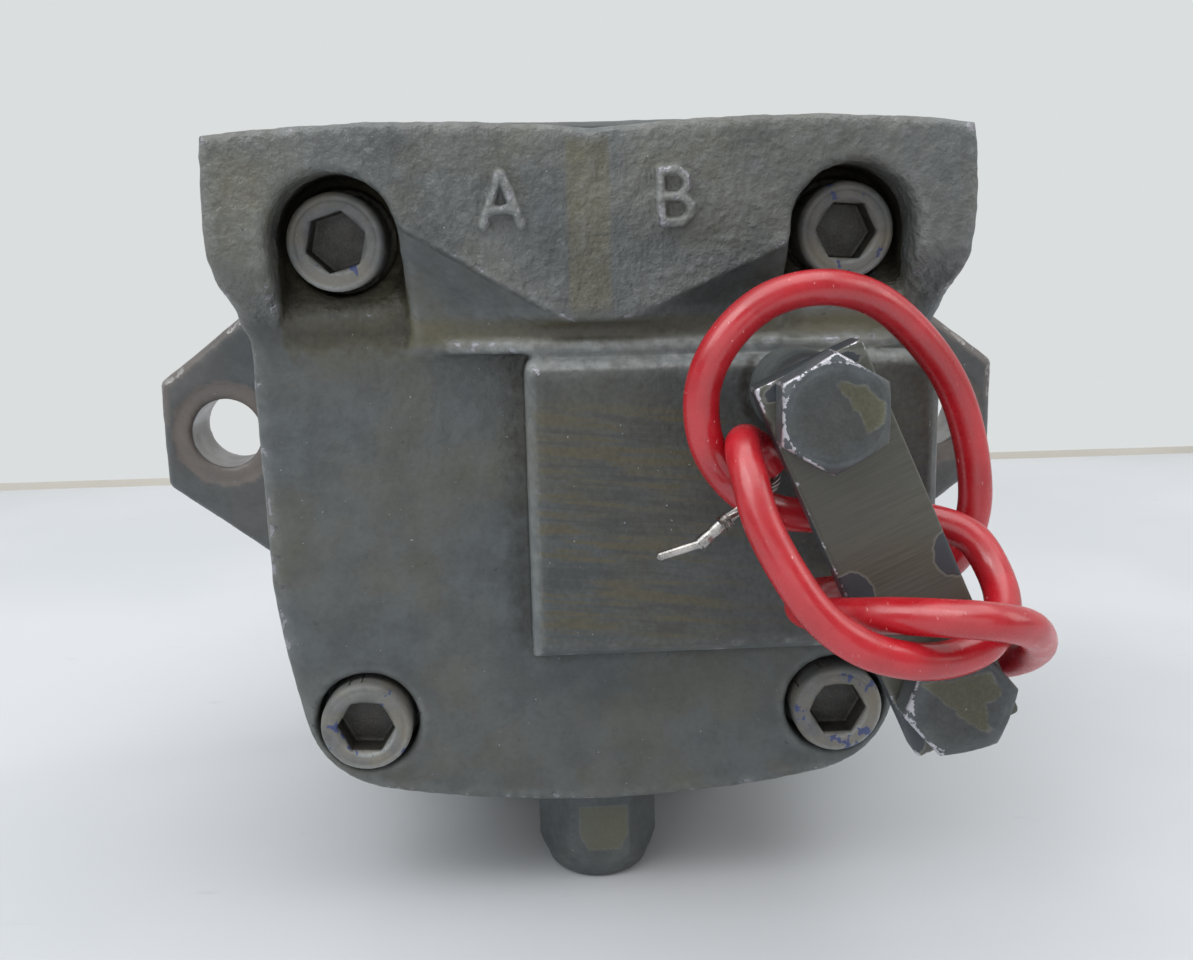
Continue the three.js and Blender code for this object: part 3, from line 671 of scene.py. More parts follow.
def upper_block(edge, x, y, z):
    """The lettered block. Its face slopes back outside the V, and more gently down both outer strips."""
    inner = smooth_step((42 - np.abs(x)) / 6)
    drop = inner * 0.85 * below_the_v(x, z) + (1 - inner) * 12 * smooth_step((45 - z) / 17)
    block = smooth_max(edge, (UPPER_FACE + drop - y) * 0.8, 1.9)
    return smooth_max(block, BLOCK_BOTTOM - z, 1.6)


def sill_and_ridge(x, y, z):
    """The shelf between the block and the pad, and the cast ridge along its lower edge."""
    level = -4.6 + 6.4 * smooth_step((-6 - x) / 28) + 6 * smooth_step((x - 48) / 14)
    sill = smooth_max(smooth_max(slab(-34, 62, x), slab(26.2, 36, z), 2), level - y, 2.4)
    ridge = np.hypot(z - 27.3 + 0.004 * x, y - level + 0.1) - 1.1
    return sill, smooth_max(ridge, slab(-30, 58, x), 4)


def pad_distance(x, y, z):
    """The raised pad, with a bevel round its face."""
    outline = outline_distance(curved(
        (PAD_LEFT, PAD_BOTTOM), ((PAD_RIGHT, PAD_BOTTOM),), ((PAD_RIGHT, 18.5),),
        ((PAD_RIGHT, PAD_TOP), (56.5, PAD_TOP)), ((-10.5, PAD_TOP),), ((PAD_LEFT, PAD_TOP), (PAD_LEFT, 22.5)),
    ), x, z)
    bevel = (outline + PAD_FACE - y + 2.2) * 0.7
    return smooth_max(smooth_max(outline, PAD_FACE - y, 0.8), bevel, 0.8)


def pocket_distance(side, x, y, z):
    """The pocket of an upper screw. Its floor comes forward as it runs down."""
    arch = stroke_distance([(side * POCKET_X, POCKET_TOP), (side * POCKET_X, POCKET_BOTTOM - 1)], x, z)
    hollow = smooth_max(arch - POCKET_RADIUS, POCKET_BOTTOM - z, 2)
    floor = 9.5 - (9.6 + 2.4 * side) * smooth_step((46 - z) / 15)
    return smooth_max(hollow, y - floor, 2.5)


def cap_field(x, y, z):
    edge = outline_distance(cap_outline(), x, z)
    sill, ridge = sill_and_ridge(x, y, z)
    body = smooth_max(edge, LOWER_FACE - y, 2.2)
    body = smooth_min(body, np.maximum(upper_block(edge, x, y, z), y - ROOT), 3.0)
    body = smooth_min(body, np.maximum(sill, y - ROOT), 3.4)
    body = smooth_min(body, ridge, 1.6)
    body = smooth_min(body, np.maximum(pad_distance(x, y, z), y - ROOT), 1.8)
    for side in (-1, 1):
        body = carved(body, pocket_distance(side, x, y, z), 2.2)
        for up in (-1, 1):
            around = np.hypot(x - side * SCREW_PITCH, z - up * SCREW_PITCH)
            body = carved(body, np.maximum(around - BORE_RADIUS, y - BORE_SEAT), 1.3)
            body = carved(body, around - SCREW_HOLE)
        port = np.hypot(x - side * PORT_X, y - PORT_Y)
        mouth = 0.8 * np.clip(z - 62.6, 0, 2.4)
        body = carved(body, np.maximum(port - PORT_RADIUS - mouth, PORT_END - z), 0.5)
        body = carved(body, np.maximum(port - SPOT_RADIUS, SPOT_FLOOR - z), 0.6)
        passage = np.hypot(x - side * 25, z - 34) - 7
        body = carved(body, np.maximum(passage, PORT_Y - y))
    body = carved(body, np.maximum(np.hypot(x - ARM_X, z - ARM_Z) - 5.4, y - 12), 0.8)
    body = carved(body, np.maximum(np.hypot(x, z) - 17.7, 20 - y))
    body = carved(body, np.maximum(np.hypot(x - PLUG_X, y - PLUG_Y) - 8.3, z - PLUG_TOP - 2))
    stroke = np.hypot(np.maximum(letters_distance(x, z) - 0.15, 0), (y - UPPER_FACE) * 0.52) - 0.78
    return np.maximum(smooth_min(body, stroke, 0.5), y - PARTING_FACE)


SMEARS = ((-52, 27, 9), (-40, 25, 8), (-52, -16, 10), (-18, -52, 12), (16, -57, 9), (-20, 6, 6), (-60, 60, 8))


def bevel_sheen_and_chips(points):
    """Painted highlight on the bevel of the pad: all along its top, faint at the left, with pale chips at the
    bottom.
    """
    x, y, z = points.T
    top = near(x, 22, 37, 8) * near(z, 24.5, 1.2, 0.5) * (y < -5.2) * (x > -13)
    left = 0.4 * near(x, -12.4, 1.1, 0.5) * near(z, -3, 27.5, 1) * (y < -5)
    chips = np.clip(3 * lattice_noise(points, 3.2, 29) - 0.9, 0, 0.6)
    return top + left + chips * near(z, -30.2, 1.3, 0.5) * (y < -5) * (x > -14)


def cap_masks(points, masks):
    """Adds where the cap is stained, streaked, rough and soiled, pale with painted highlight and dark with
    painted shade. Returns which points are machined.
    """
    x, y, z = points.T
    patchy = 0.5 + 0.5 * lattice_noise(points, 9, 21)
    scar = lattice_noise(points, 1.4, 5)
    block = np.clip((z - BLOCK_BOTTOM) / 3, 0, 1) * (y < 2)
    facet = smooth_step(below_the_v(x, z) / 1.2) * (np.abs(x) < 38) * block
    cast = block * (1 - facet) * patchy
    strip = near(x, -1.1, 3.7, 0.9) * near(z, 48.3, 15.6, 2) * block
    trough = near(x, 10, 48, 8) * near(z, 30.0, 2.4, 1.6) * (y < LOWER_FACE)
    ridge = near(x, 14, 40, 14) * near(z, 27.4, 1.3, 0.8) * (y < 0)
    pad = near(x, 25, 37, 1) * near(z, -3, 27, 1) * np.clip((-6.5 - y) / 0.8, 0, 1)
    smears = sum(np.exp(-(((x - cx) ** 2 + (z - cz) ** 2) / r**2)) for cx, cz, r in SMEARS)
    bores = np.hypot(np.abs(x) - SCREW_PITCH, z + SCREW_PITCH) < 14
    inside = stroke_distance([(POCKET_X, POCKET_TOP), (POCKET_X, 31)], np.abs(x), z) < 12
    pocket = inside * np.clip((y + 0.5) / 3, 0, 1) * np.clip((z - 25.5 - 2 * scar) / 4, 0, 1) * (y < 14)
    foot_ring = near(np.hypot(x - ARM_X, z - ARM_Z), 8.8, 0.7, 0.9) * (y < -6) * (0.7 + 0.6 * scar)
    lettered = (letters_distance(x, z) < 1.3) & (y < UPPER_FACE - 0.45)
    machined = (np.hypot(np.abs(x) - PORT_X, y - PORT_Y) < SPOT_RADIUS - 0.1) & (np.abs(z - 64.625) < 0.325)
    stain = 0.8 * strip * (0.8 + 0.2 * patchy) + trough * (0.5 + 0.5 * patchy) + 0.3 * cast
    masks["tint"] = np.clip(stain + 0.35 * smears * patchy + 0.7 * pocket, 0, 1)
    masks["streak"] = pad * np.clip((34 - x) / 20, 0.3, 1) * near(z, -6, 22, 5)
    # Painted highlight: the worn edges low on the front, the ridge above the pad, the pad's bevel, the
    # letters and the lettered face are paled, as if they caught the light.
    masks["pale"] = (
        0.4 * masks["wear"] * (y < 6) * (0.6 + 0.4 * scar) + 0.75 * ridge * (0.75 + 0.25 * scar)
        + 0.85 * bevel_sheen_and_chips(points) * (0.8 + 0.3 * scar) + 0.3 * lettered + 0.26 * cast
    )
    worn = masks["wear"] * (0.8 + 0.4 * scar) * np.where((y < 24) & ~bores, 1, 0.5)
    masks["wear"] = np.where(machined, 3, np.clip(worn + 0.22 * lettered * (1 + scar), 0, 1))
    # How lumpy the paint is: it roughens the surface, and its lumps carry the painted glints.
    behind = 0.22 + 0.25 * smooth_step((z + 10) / 30) * (y > 0)
    masks["peel"] = block * (1 - 0.85 * facet) + (1 - block) * behind
    # Painted shade in the groove left of the pad and along the foot of the pad.
    shade = near(x, -16.0, 2.2, 1.6) * near(z, -3, 30, 2) + near(z, -33.6, 1.6, 1.4) * near(x, 24, 38, 3)
    shade = shade * np.clip((y + 6) / 4, 0, 1) * (y < 4) * (0.6 + 0.7 * lattice_noise(points, 1.8, 23))
    # The pad darker towards the right, and painted shade on the right facet of the V, which faces down.
    right_darkening = pad * (0.36 + 0.16 * np.clip(x / 30, 0, 1)) + 0.5 * facet * smooth_step((x - 12) / 6) * block
    # Painted shade in hollows, darker screw pockets and a darker ring round the foot of the spacer.
    dirt_and_shade = 0.6 * masks["grime"] + 0.4 * shade + pocket * (0.4 + 0.25 * patchy)
    masks["grime"] = np.clip(dirt_and_shade + 0.85 * foot_ring + right_darkening, 0, 1)
    return machined


def make_cap():
    axes = (
        axis_steps((-70.5, -21, 0.62), (-21, 18, 0.42), (18, 70.5, 0.62)),
        axis_steps((-11.2, -5, 0.42), (-5, 14, 0.6), (14, 45, 1.5)),
        axis_steps((-68.4, 47.6, 0.62), (47.6, 59.6, 0.42), (59.6, 70.2, 0.62)),
    )
    points, faces, masks = sculpt(cap_field, axes, edge=0.12)
    machined = cap_masks(points, masks)
    x, y, z = points.T
    smooth = machined | (y > PARTING_FACE - 0.5) | (pad_distance(x, y, z) < 0.6) & (y < -5)
    coarse = np.where(smooth, 0.01, 0.05 + 0.11 * masks["peel"])
    points = roughened(points, faces, coarse, np.where(smooth, 0, 0.1), grain=2.5)
    return finished("cast_rear_cap", points, faces, masks, CAST_PAINT)


# ---- flange housing ----

BODY_HALF_WIDTH, BODY_CORNER, BODY_FACE = 71.5, 46.0, 44.3
EAR_FACE, MOUNT_FACE, PILOT_END = 81.0, 101.0, 113.7
BOLT_SPAN, BOLT_HOLE, BOLT_SPOT = 90.5, 8.75, 13.0
PILOT_RADIUS, CAVITY_RADIUS, BEARING_RADIUS, SEAL_RADIUS, SHAFT_HOLE = 63.5, 52.5, 36.3, 31.3, 28.0
EAR_CORNERS = ((106.2, 13.3), (56, 51.2))
EARS = [
    *((x, z) for x, z in EAR_CORNERS), *((-x, z) for x, z in EAR_CORNERS[::-1]),
    *((-x, -z) for x, z in EAR_CORNERS), *((x, -z) for x, z in EAR_CORNERS[::-1]),
]


def housing_field(x, y, z):
    ear = outline_distance(EARS, x, z)
    around = np.hypot(x, z)
    straight = BODY_HALF_WIDTH - BODY_CORNER
    outside = np.hypot(np.maximum(np.abs(x) - straight, 0), np.maximum(np.abs(z) - straight, 0))
    body = smooth_max(np.maximum(outside, 0.1) - BODY_CORNER, BODY_FACE - y, 2.5)
    body = smooth_min(body, smooth_max(smooth_max(ear, EAR_FACE - y, 3.5), y - MOUNT_FACE, 1), 5)
    foot = smooth_max(slab(-30, 30, x), slab(62, 98, y), 2)
    body = smooth_min(body, smooth_max(foot, slab(-87.9, -60, z), 1.2), 5)
    body = smooth_max(body, y - MOUNT_FACE, 0.8)
    body = np.minimum(body, smooth_max(around - PILOT_RADIUS, slab(95, PILOT_END, y), 1.6))
    body = carved(body, np.maximum(around - CAVITY_RADIUS, y - 85.5))
    body = carved(body, np.maximum(around - BEARING_RADIUS, y - 103.1))
    body = carved(body, around - SHAFT_HOLE)
    mouth = 0.6 * np.clip(y - 112.5, 0, 2)
    body = carved(body, np.maximum(around - SEAL_RADIUS - mouth, 105.1 - y), 0.4)
    for side in (-1, 1):
        off = np.hypot(x - side * BOLT_SPAN, z)
        body = carved(body, off - BOLT_HOLE, 0.9)
        body = carved(body, smooth_max(off - BOLT_SPOT, y - EAR_FACE - 0.6, 0.6), 0.8)
        for up in (-1, 1):
            screw = np.hypot(x - side * SCREW_PITCH, z - up * SCREW_PITCH) - 6.3
            body = carved(body, np.maximum(screw, y - 74))
    return body


def make_housing():
    axes = (
        axis_steps((-108, 108, 1.0)),
        axis_steps((43, 78, 1.75), (78, 115, 0.85)),
        axis_steps((-89.5, 73.5, 1.0)),
    )
    points, faces, masks = sculpt(housing_field, axes, edge=0.34, hollow=1.2, reach=3)
    x, y, z = points.T
    off = np.hypot(np.abs(x) - BOLT_SPAN, z)
    spot = (off < BOLT_SPOT + 0.4) & (off > 8.6) & (y < EAR_FACE + 2)
    machined = (y > MOUNT_FACE - 0.6) | (z < -87.4) | (off < 9) & (y > EAR_FACE + 2)
    rim = np.clip(1 + outline_distance(EARS, x, z) / 3.4, 0, 1)
    band = rim * (z > 2) * (y < EAR_FACE + 3) * (y > EAR_FACE - 3) * (np.abs(x) > 62)
    scar = lattice_noise(points, 5, 33)
    chips = band * (0.9 + scar) > 0.55
    masks["wear"] = np.where(machined, 3, np.clip(masks["wear"] * 0.7 + 0.5 * chips, 0, 1))
    stain = 0.12 + 0.2 * lattice_noise(points, 16, 31) + 0.4 * (band > 0.4)
    masks["tint"] = np.where(spot, 0.75 + 0.25 * scar, stain)
    cast = ~(machined | spot)
    points = roughened(points, faces, 0.09 * cast, 0.2 * cast, grain=2.8, seed=11)
    return finished("cast_flange_housing", points, faces, masks, HOUSING_PAINT)


# ---- fasteners ----

HEAD_RADIUS, HEAD_HEIGHT, SOCKET_FLATS, SOCKET_DEPTH = 9.0, 12.0, 10.0, 6.0
SCREW_RADIUS, SCREW_END = 6.0, 70.0
SCREWS = ((-1, 1, 0.23), (1, 1, 0.59), (-1, -1, 0.57), (1, -1, 0.52))  # side, height, turn of the socket


def screw_field(x, y, z):
    around = np.hypot(x, z)
    head = smooth_max(around - HEAD_RADIUS, slab(0, HEAD_HEIGHT, y), 1.7)
    head = carved(head, np.hypot(around - 7.6, y + 0.05) - 0.22, 0.3)
    socket = smooth_max(hexagon_distance(SOCKET_FLATS, x, z), y - SOCKET_DEPTH, 0.3)
    mouth = np.maximum(around - 5.9 + 1.1 * y, y - 1)
    head = carved(head, np.minimum(socket, mouth), 0.3)
    shank = smooth_max(around - SCREW_RADIUS, slab(HEAD_HEIGHT - 1, SCREW_END, y), 1.2)
    return np.minimum(head, shank)


def turned_about_y(points, angle):
    x, y, z = points.T
    cos, sin = math.cos(angle), math.sin(angle)
    return np.stack([x * cos + z * sin, y, z * cos - x * sin], axis=1)


def make_screws():
    across = axis_steps((-9.6, 9.6, 0.3))
    axes = (across, axis_steps((-0.8, 9, 0.3), (9, 13, 0.5), (13, 71, 3)), across)
    local, faces, masks = sculpt(screw_field, axes, edge=0.1, hollow=0.5)
    screws = []
    for number, (side, height, turn) in enumerate(SCREWS, 1):
        place = np.array([side * SCREW_PITCH, 0, height * SCREW_PITCH])
        points = turned_about_y(local, turn) + place
        head = points[:, 1] < HEAD_HEIGHT
        points = roughened(points, faces, 0.035 * head, 0.03, grain=1.3, seed=40 + number)
        x, y, z = (points - place).T
        around, front = np.hypot(x, z), y < 2
        # Painted highlight on the lower side of each head, turned a little from screw to screw: there the rim
        # wears brighter, the lighter undercoat shows more and pale rims ring the head and the socket's mouth.
        lower = np.clip(-np.cos(np.arctan2(z, x) - 1.0 - 0.3 * number), 0, 1) * front
        # Painted shade inside the socket.
        deep = (y > 1.2) & (around < 6.3)
        rims = near(around, 8.5, 0.5, 0.4) + near(around, 5.7, 0.3, 0.3) * (y < 1)
        mine = {
            "wear": np.clip(masks["wear"] * np.where(around < 6.6, 0.55, 0.5 + 0.62 * lower), 0, 1),
            "tint": np.clip(0.4 * lower + 0.15 + 0.5 * lattice_noise(points, 3, 57 + number), 0, 1),
            "pale": lower * (0.18 + 0.75 * rims),
            "marker": ~deep & front,
            "grime": np.maximum(masks["grime"], deep * (0.94 + 0.06 * lattice_noise(points, 2, 55))),
        }
        screws.append(finished(f"socket_screw_{number}", points, faces, mine, SCREW_PAINT))
    return screws


# The plug's radius at heights above its end, from its nose to the full hexagon.
PLUG_NOSE = ((-0.15, 8.9), (0.45, 9.9), (1.45, 10.6), (2.65, 11.0), (5.65, 12.8), (6.45, 13.6))


def plug_field(x, y, z):
    around = np.hypot(x, y)
    heights, radii = zip(*PLUG_NOSE)
    hexagon = hexagon_distance(22, x, y, math.pi / 6)
    head = smooth_max(hexagon, around - np.interp(z - PLUG_END, heights, radii), 0.35)
    head = smooth_max(head, slab(PLUG_END, WASHER_BOTTOM - 0.3, z), 0.6)
    head = carved(head, np.hypot(around, z - PLUG_END + 1.0) - 2.2, 0.5)
    return np.minimum(head, np.maximum(around - 8, slab(-70, PLUG_TOP, z)))


def make_plug():
    across = axis_steps((-13.4, 13.4, 0.36))
    axes = (across, across, axis_steps((-88.6, -67, 0.36), (-67, -51, 1.2)))
    points, faces, masks = sculpt(plug_field, axes, edge=0.12, hollow=0.6)
    x, y, z = points.T
    # Painted highlight on the front flat of the hexagon: a D-shaped patch of lighter undercoat colour with
    # paler edges.
    panel = near(np.abs(x - 0.9) + 0.5 * np.clip(-77.5 - z, 0, 4), 0, 5.0, 0.5) * near(z, -76.1, 4.9, 0.5)
    masks["tint"] = 0.6 * panel * (y < -9.5)
    masks["pale"] = 0.7 * panel * (1 - panel) * (y < -9.5)
    masks["wear"] = masks["wear"] * 0.66
    points = roughened(points, faces, 0.05, 0.06, grain=1.8, seed=61) + np.array([PLUG_X, PLUG_Y, 0])
    return finished("hexagon_drain_plug", points, faces, masks, FASTENER_PAINT)


# ---- arm ----

ARM_BACK, ARM_FRONT = -30.1, -36.1
HEAD_SEAT, HEAD_FACE = -36.4, -42.8
BOLT_SPACING, BOLT_FLATS, BOLT_RADIUS, STRAP_HOLE = 53.0, 17.0, 5.0, 5.5
STRAP_HALF_WIDTH, STRAP_TOP, STRAP_FOOT = 9.5, 8.0, -62.0


def on_arm(points, along=0.0):
    """Points drawn with the arm hanging straight down from the origin, moved to where it is."""
    turned = turned_about_y(np.asarray(points, float) + np.array([0, 0, -along]), -ARM_TILT)
    return turned + np.array([ARM_X, 0, ARM_Z])


def strap_field(x, y, z):
    width = slab(-STRAP_HALF_WIDTH, STRAP_HALF_WIDTH, x)
    sides = smooth_max(width, slab(STRAP_FOOT, STRAP_TOP, z), 0.9)
    strap = smooth_max(sides, slab(ARM_FRONT, ARM_BACK, y), 0.6)
    nick = np.hypot(np.hypot(x + 10.2, z - 1.5), y - ARM_FRONT) - 1.1
    strap = carved(strap, nick, 0.5)
    for height in (0, -BOLT_SPACING):
        strap = carved(strap, np.hypot(x, z - height) - STRAP_HOLE)
    return strap


def brushed_paint():
    """Steel brushed across its length, with worn patches of paint whose mask is tint."""
    shader = Shader("brushed_strap")
    lines = shader.noise(0.45, 4, 0.65, stretch=(30, 1, 1), turn=-ARM_TILT)
    colour = shader.blend(shader.span(lines, 0.32, 0.68), tone(74, 74, 66), tone(88, 88, 79))
    colour = shader.blend(shader.span(shader.noise(14, 3), 0.35, 0.7, 0, 0.5), colour, tone(78, 80, 76))
    patches = shader.ragged(shader.attribute("tint"), shader.noise(3, 4, 0.6), 0.28)
    rim = shader.times(shader.span(patches, 0.42, 0.47), shader.span(patches, 0.5, 0.55, 0.35, 0))
    colour = shader.blend(rim, colour, tone(136, 136, 130))
    paint = shader.span(patches, 0.5, 0.52)
    colour = shader.blend(paint, colour, tone(60, 65, 70))
    chipped = shader.ragged(shader.attribute("wear"), shader.noise(1.6, 4, 0.6, shift=2), 1.6)
    bare = shader.span(chipped, 0.6, 0.72)
    colour = shader.blend(bare, colour, tone(190, 188, 196))
    rough = shader.span(lines, 0.3, 0.7, 0.3, 0.46)
    metal = shader.times(bare, 0.8)
    normal = shader.bump(shader.plus(shader.times(lines, 0.14), paint), 0.08)
    return shader.look(colour, rough, normal, metal)


# Painted patches on the front of the strap: x and z of the middle, and half the width and height.
STRAP_PATCHES = ((-8.5, -30.8, 5.4, 6.2), (10.4, -31, 6.0, 6.0), (0, 6, 12, 3), (-9, -56, 4, 7))


def make_strap():
    axes = (axis_steps((-10.2, 10.2, 0.36)), axis_steps((-36.8, -29.4, 0.3)), axis_steps((-62.6, 8.6, 0.4)))
    points, faces, masks = sculpt(strap_field, axes, edge=0.12, hollow=0.6)
    x, y, z = points.T
    patches = sum(
        np.clip(1.2 - np.hypot((x - cx) / width, (z - cz) / height), 0, 1)
        for cx, cz, width, height in STRAP_PATCHES
    )
    masks["tint"] = np.clip(np.where(y < ARM_FRONT + 0.5, patches, 0.65), 0, 1)
    share = np.where((x < 0) | (z > 5), 1.0, 0.62) * (0.7 + 0.4 * lattice_noise(points, 2.5, 71))
    masks["wear"] = masks["wear"] * share
    points = roughened(points, faces, 0.015, 0.04, grain=1.6, seed=72)
    return finished("steel_strap", on_arm(points), faces, masks, brushed_paint())


# Outlines of the spots where the undercoat shows on the two heads.
PIVOT_PATCH = [(1.6, 4.6), (6.4, 2.6), (7.4, -1.4), (6.2, -4.4), (2.8, -4.9), (3.4, -1.0)]
END_PATCH = [(-4.6, 6.2), (6.4, 3.2), (6.2, -1.4), (3.4, -1.0), (1.9, -6.8), (-1.6, -0.8)]


def bolt_field(turn, shank_end, soft):
    def field(x, y, z):
        around = np.hypot(x, z)
        depth = y - HEAD_FACE
        hexagon = hexagon_distance(BOLT_FLATS, x, z, turn)
        head = smooth_max(hexagon, slab(HEAD_FACE, HEAD_SEAT, y), soft)
        head = smooth_max(head, (around - 8.1 - 1.75 * depth) * 0.5, soft * 0.6)
        head = carved(head, np.hypot(around - 7.6, depth + 0.1) - 0.3, 0.3)
        shank = smooth_max(around - BOLT_RADIUS, slab(HEAD_SEAT - 1, shank_end, y), 0.8)
        return np.minimum(head, shank)

    return field


def make_bolt(name, turn, along, shank_end, soft, seed, patch):
    """A hexagon bolt of the arm, that far along it, with edges worn and brightened as painted highlight at
    the upper left.
    """
    across = axis_steps((-10.4, 10.4, 0.3))
    axes = (across, axis_steps((-43.3, -35.8, 0.28), (-35.8, shank_end + 0.8, 1.2)), across)
    points, faces, masks = sculpt(bolt_field(turn, shank_end, soft), axes, edge=0.1, hollow=0.5)
    x, y, z = points.T
    face = y < HEAD_FACE + 0.6
    spot = outline_distance(patch, x, z) + 0.8 * lattice_noise(points, 1.5, seed)
    masks["tint"] = np.clip(0.5 - spot / 0.3, 0, 0.95) * face
    masks["pale"] = 0.45 * near(spot, 0, 0.12, 0.25) * face
    # The upper left edges, which face the light, are worn brighter: chips and a painted highlight.
    facing = np.maximum(np.clip((-x - 2) / 5, 0, 1), 0.8 * np.clip((z - 2) / 5, 0, 1))
    rim = (np.hypot(x, z) > 8.0) * (y < HEAD_SEAT - 1)
    masks["wear"] = np.clip(masks["wear"] * (0.42 + 0.7 * facing) + 0.5 * facing * rim, 0, 1)
    points = roughened(points, faces, 0.04, 0.07, grain=1.5, seed=seed)
    return finished(name, on_arm(points, along), faces, masks, FASTENER_PAINT)


def spacer_field(x, y, z):
    around = np.hypot(x, z)
    return carved(smooth_max(around - 8, slab(-29.8, -8.3, y), 1.2), around - STRAP_HOLE, 0.6)


def make_spacer():
    across = axis_steps((-8.6, 8.6, 0.45))
    axes = (across, axis_steps((-30.4, -7.7, 0.5)), across)
    points, faces, masks = sculpt(spacer_field, axes, edge=0.14, hollow=0.6)
    masks["wear"] = masks["wear"] * 0.5
    points = roughened(points, faces, 0.05, 0.1, grain=1.8, seed=81)
    return finished("painted_spacer", on_arm(points), faces, masks, FASTENER_PAINT)


# ---- crimped pins ----


def headings(route):
    """Directions of length 1 along a route."""
    ahead = np.gradient(route, axis=0)
    return ahead / np.linalg.norm(ahead, axis=1, keepdims=True)


def swept(route, radii, sides=20):
    """Points and triangles of a closed tube along a route, with a radius at each of its points."""
    route = np.asarray(route, float)
    ahead = headings(route)
    side = np.cross(ahead[0], (0, 0, 1.0))
    angles = np.arange(sides) * 2 * math.pi / sides
    rings = []
    for place, direction, radius in zip(route, ahead, radii):
        side = side - direction * (side @ direction)
        side /= np.linalg.norm(side)
        over = np.cross(direction, side)
        rings.append(place + radius * (np.cos(angles)[:, None] * side + np.sin(angles)[:, None] * over))
    points = np.vstack([route[:1], *rings, route[-1:]])
    last = len(points) - 1
    faces = []
    for i in range(sides):
        j = (i + 1) % sides
        faces.append((0, 1 + j, 1 + i))
        faces.append((last, last - sides + i, last - sides + j))
        for k in range(len(route) - 1):
            a, b = 1 + k * sides + i, 1 + k * sides + j
            faces.append((a, b, b + sides))
            faces.append((a, b + sides, a + sides))
    return points, np.array(faces)


def strands(wire):
    """Six bare strands twisted round a route."""
    route = smooth_route(wire, 10)
    ahead = headings(route)
    side = np.cross(ahead, (0.2, 0.1, 1.0))
    side /= np.linalg.norm(side, axis=1, keepdims=True)
    over = np.cross(ahead, side)
    twist = np.linspace(0, 5, len(route))[:, None]
    for angle in (twist + number * math.pi / 3 for number in range(6)):
        yield swept(route + 0.56 * (np.cos(angle) * side + np.sin(angle) * over), np.full(len(route), 0.3), 8)


def make_pin(name, wire, collar, barrel, tip):
    """Bare strands, a ringed crimp collar, a barrel with a crimp dent and a bent round pin."""
    start, collar, barrel, tip = (np.array(place, float) for place in (wire[-1], collar, barrel, tip))
    share = np.linspace(0, 1, 25)
    ringed = 1.28 + 0.2 * (np.abs(share * 2 - 1) > 0.72) + 0.08 * np.cos(share * 40)
    pieces = [*strands(wire), swept(np.linspace(start, collar, len(share)), ringed)]
    share = np.linspace(0, 1, 18)
    dented = 1.12 - 0.16 * np.exp(-(((share - 0.5) / 0.16) ** 2))
    pieces.append(swept(np.linspace(collar, barrel, len(share)), dented))
    bend = barrel + 0.12 * (tip - barrel)
    spike = np.vstack([np.linspace(barrel, bend, 4), np.linspace(bend, tip, 20)[1:]])
    share = np.linspace(0, 1, len(spike))
    taper = np.where(share < 0.1, 1.05 - 3 * share, 0.74) * np.clip((1.03 - share) / 0.06, 0.55, 1)
    pieces.append(swept(spike, taper))
    before = np.cumsum([0, *(len(points) for points, _ in pieces)])
    points = np.vstack([points for points, _ in pieces])
    faces = np.vstack([faces + offset for (_, faces), offset in zip(pieces, before)])
    return finished(name, points, faces, {}, PLATED, sharp=40)


# ---- shaft end ----

# The shaft's radius at places along y, from its rear end to the drive end.
SHAFT_STEPS = (
    (22, 11.5), (23, 12.5), (45, 12.5), (45.1, 13.7), (79, 13.7), (79.1, 17.5), (114.4, 17.5),
    (114.6, 15.875), (155.4, 15.875), (157, 14.3),
)
SHAFT_START, SHAFT_END = 22.0, 157.0
KEY_MIDDLE, KEY_HALF_WIDTH = 133.5, 3.95


def shaft_field(x, y, z):
    around = np.hypot(x, z)
    places, radii = zip(*SHAFT_STEPS)
    shaft = smooth_max(around - np.interp(y, places, radii), slab(SHAFT_START, SHAFT_END, y), 0.4)
    centre = np.maximum(around - 3.4 + (SHAFT_END - y) * 0.55, 150 - y)
    shaft = carved(shaft, centre, 0.3)
    ends = np.maximum(0, np.abs(y - KEY_MIDDLE) - 13.6)
    keyway = smooth_max(np.hypot(ends, x) - KEY_HALF_WIDTH - 0.1, 11.9 - z, 0.2)
    return carved(shaft, keyway, 0.3)


def make_shaft():
    across = axis_steps((-18.2, 18.2, 0.5))
    axes = (across, axis_steps((21, 104, 2.2), (104, 158, 0.5)), across)
    return finished("turned_shaft", *sculpt(shaft_field, axes), GROUND)


def key_field(x, y, z):
    ends = np.maximum(0, np.abs(y - KEY_MIDDLE) - 13.5)
    return smooth_max(np.hypot(ends, x) - KEY_HALF_WIDTH, slab(12.2, 20.0, z), 0.6)


def make_key():
    axes = (axis_steps((-4.6, 4.6, 0.35)), axis_steps((115, 152, 0.5)), axis_steps((11.6, 20.6, 0.35)))
    return finished("round_ended_key", *sculpt(key_field, axes), HARDENED)


def turned_ring(name, profile, material, segments=96):
    """A ring turned about the shaft axis from a closed profile of (radius, y) corners."""
    angles = np.arange(segments) * 2 * math.pi / segments
    points = np.array([(r * math.cos(a), y, r * math.sin(a)) for a in angles for r, y in profile])
    index = np.arange(len(points)).reshape(segments, len(profile))
    onward = np.roll(index, -1, axis=0)
    corners = (index, np.roll(index, -1, axis=1), np.roll(onward, -1, axis=1), onward)
    faces = np.stack(corners, axis=2).reshape(-1, 4)
    return finished(name, points, faces, {}, material, sharp=30)


SEAL_PROFILE = [
    (17.8, 108.5), (20.4, 106.3), (31.0, 106.3), (31.0, 113.0), (30.4, 113.2), (28.6, 113.2), (28.0, 112.4),
    (22.4, 112.4), (21.6, 113.0), (20.2, 113.0), (18.9, 111.6), (18.4, 110.4),
]

# ---- everything in its place ----

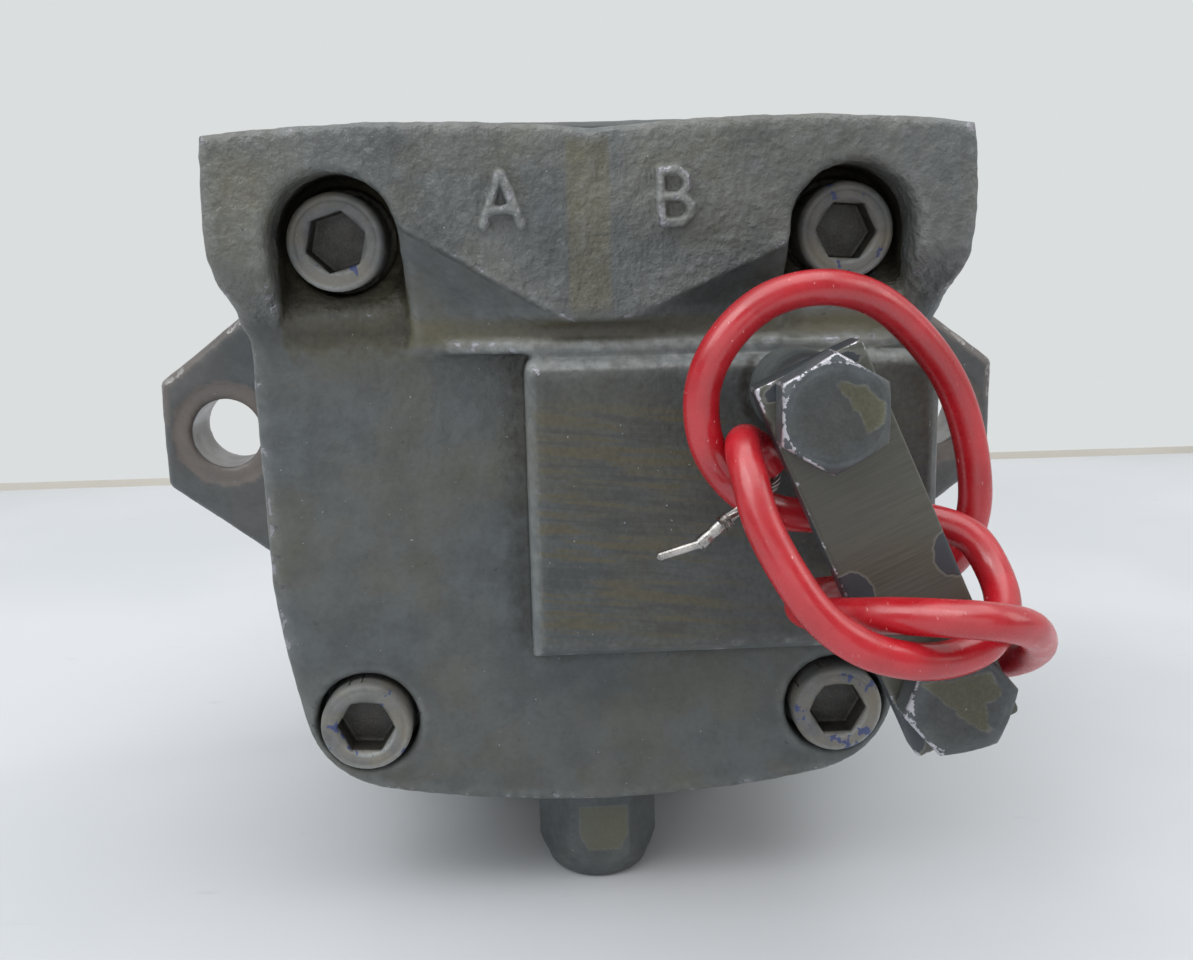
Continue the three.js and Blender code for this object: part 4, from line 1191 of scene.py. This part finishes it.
FIRST_PIN = (
    [(28.9, -25.5, 7.2), (28.6, -27.4, 5.6), (26.4, -31.0, 4.6), (22.6, -34.0, 3.2), (19.6, -34.8, 1.4)],
    (18.2, -35.0, 0.4), (14.8, -35.2, -2.6), (7.6, -35.6, -4.6),
)
SECOND_PIN = (
    [(54.0, -21.35, -30.1), (51.8, -22.2, -29.4), (50.6, -23.8, -27.4), (50.2, -24.8, -24.6)],
    (50.0, -25.2, -22.9), (49.2, -26.2, -18.6), (46.6, -27.0, -10.6),
)
PIVOT_BOLT = ("pivot_bolt", -ARM_TILT, 0, 10, 0.4, 91, PIVOT_PATCH)
END_BOLT = ("end_bolt", 0.3, BOLT_SPACING, -30.3, 0.9, 95, END_PATCH)

made = {
    "rear_cap": (make_cap(), "housing", "casting_paint"),
    "flange_housing": (make_housing(), "housing", "casting_paint"),
    "drain_plug": (make_plug(), "housing", "fastener_paint"),
    "arm_spacer": (make_spacer(), "housing", "fastener_paint"),
    "arm_pivot_bolt": (make_bolt(*PIVOT_BOLT), "housing", "fastener_paint"),
    "arm_end_bolt": (make_bolt(*END_BOLT), "arm", "fastener_paint"),
    "arm_strap": (make_strap(), "arm", "arm_paint"),
    "output_shaft": (make_shaft(), "rotating_group", "bright_steel"),
    "shaft_key": (make_key(), "rotating_group", "bright_steel"),
    "shaft_seal": (turned_ring("lip_seal", SEAL_PROFILE, RUBBER), "housing", "rubber"),
    "lead_pin_1": (make_pin("crimped_pin_1", *FIRST_PIN), "arm", "nickel"),
    "lead_pin_2": (make_pin("crimped_pin_2", *SECOND_PIN), "arm", "nickel"),
    "red_lead": (lead, "arm", "red_jacket"),
}
for number, screw in enumerate(make_screws(), 1):
    made[f"cap_screw_{number}"] = (screw, "housing", "fastener_paint")

for node, (piece, body, slot) in made.items():
    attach(piece, body)
    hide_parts(node)

# The CAD pieces that stay, in better materials.
KEPT = {
    COPPER: ["drain_plug_washer"],
    BRONZE: ["rear_bush"],
    RUBBER: ["cap_o_ring"],
    HARDENED: [
        "rear_port_plate", "cam_ring", "front_port_plate", "rotor", "bearing_outer_race",
        "bearing_inner_race",
    ],
    GROUND: ["dowel_left", "dowel_right", "bearing_balls_and_cage", *(f"vane_{i}" for i in range(1, 11))],
}
for material, names in KEPT.items():
    for node in (frame["nodes"][name] for name in names):
        if not node.material_slots:
            node.data.materials.append(material)
        for slot in node.material_slots:
            slot.material = material

tuple(row(LEAD_ROUTE[0]))

boxes = {"cad": cad_box, "visual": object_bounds()}
{name: [list(corner) for corner in box] for name, box in boxes.items()}
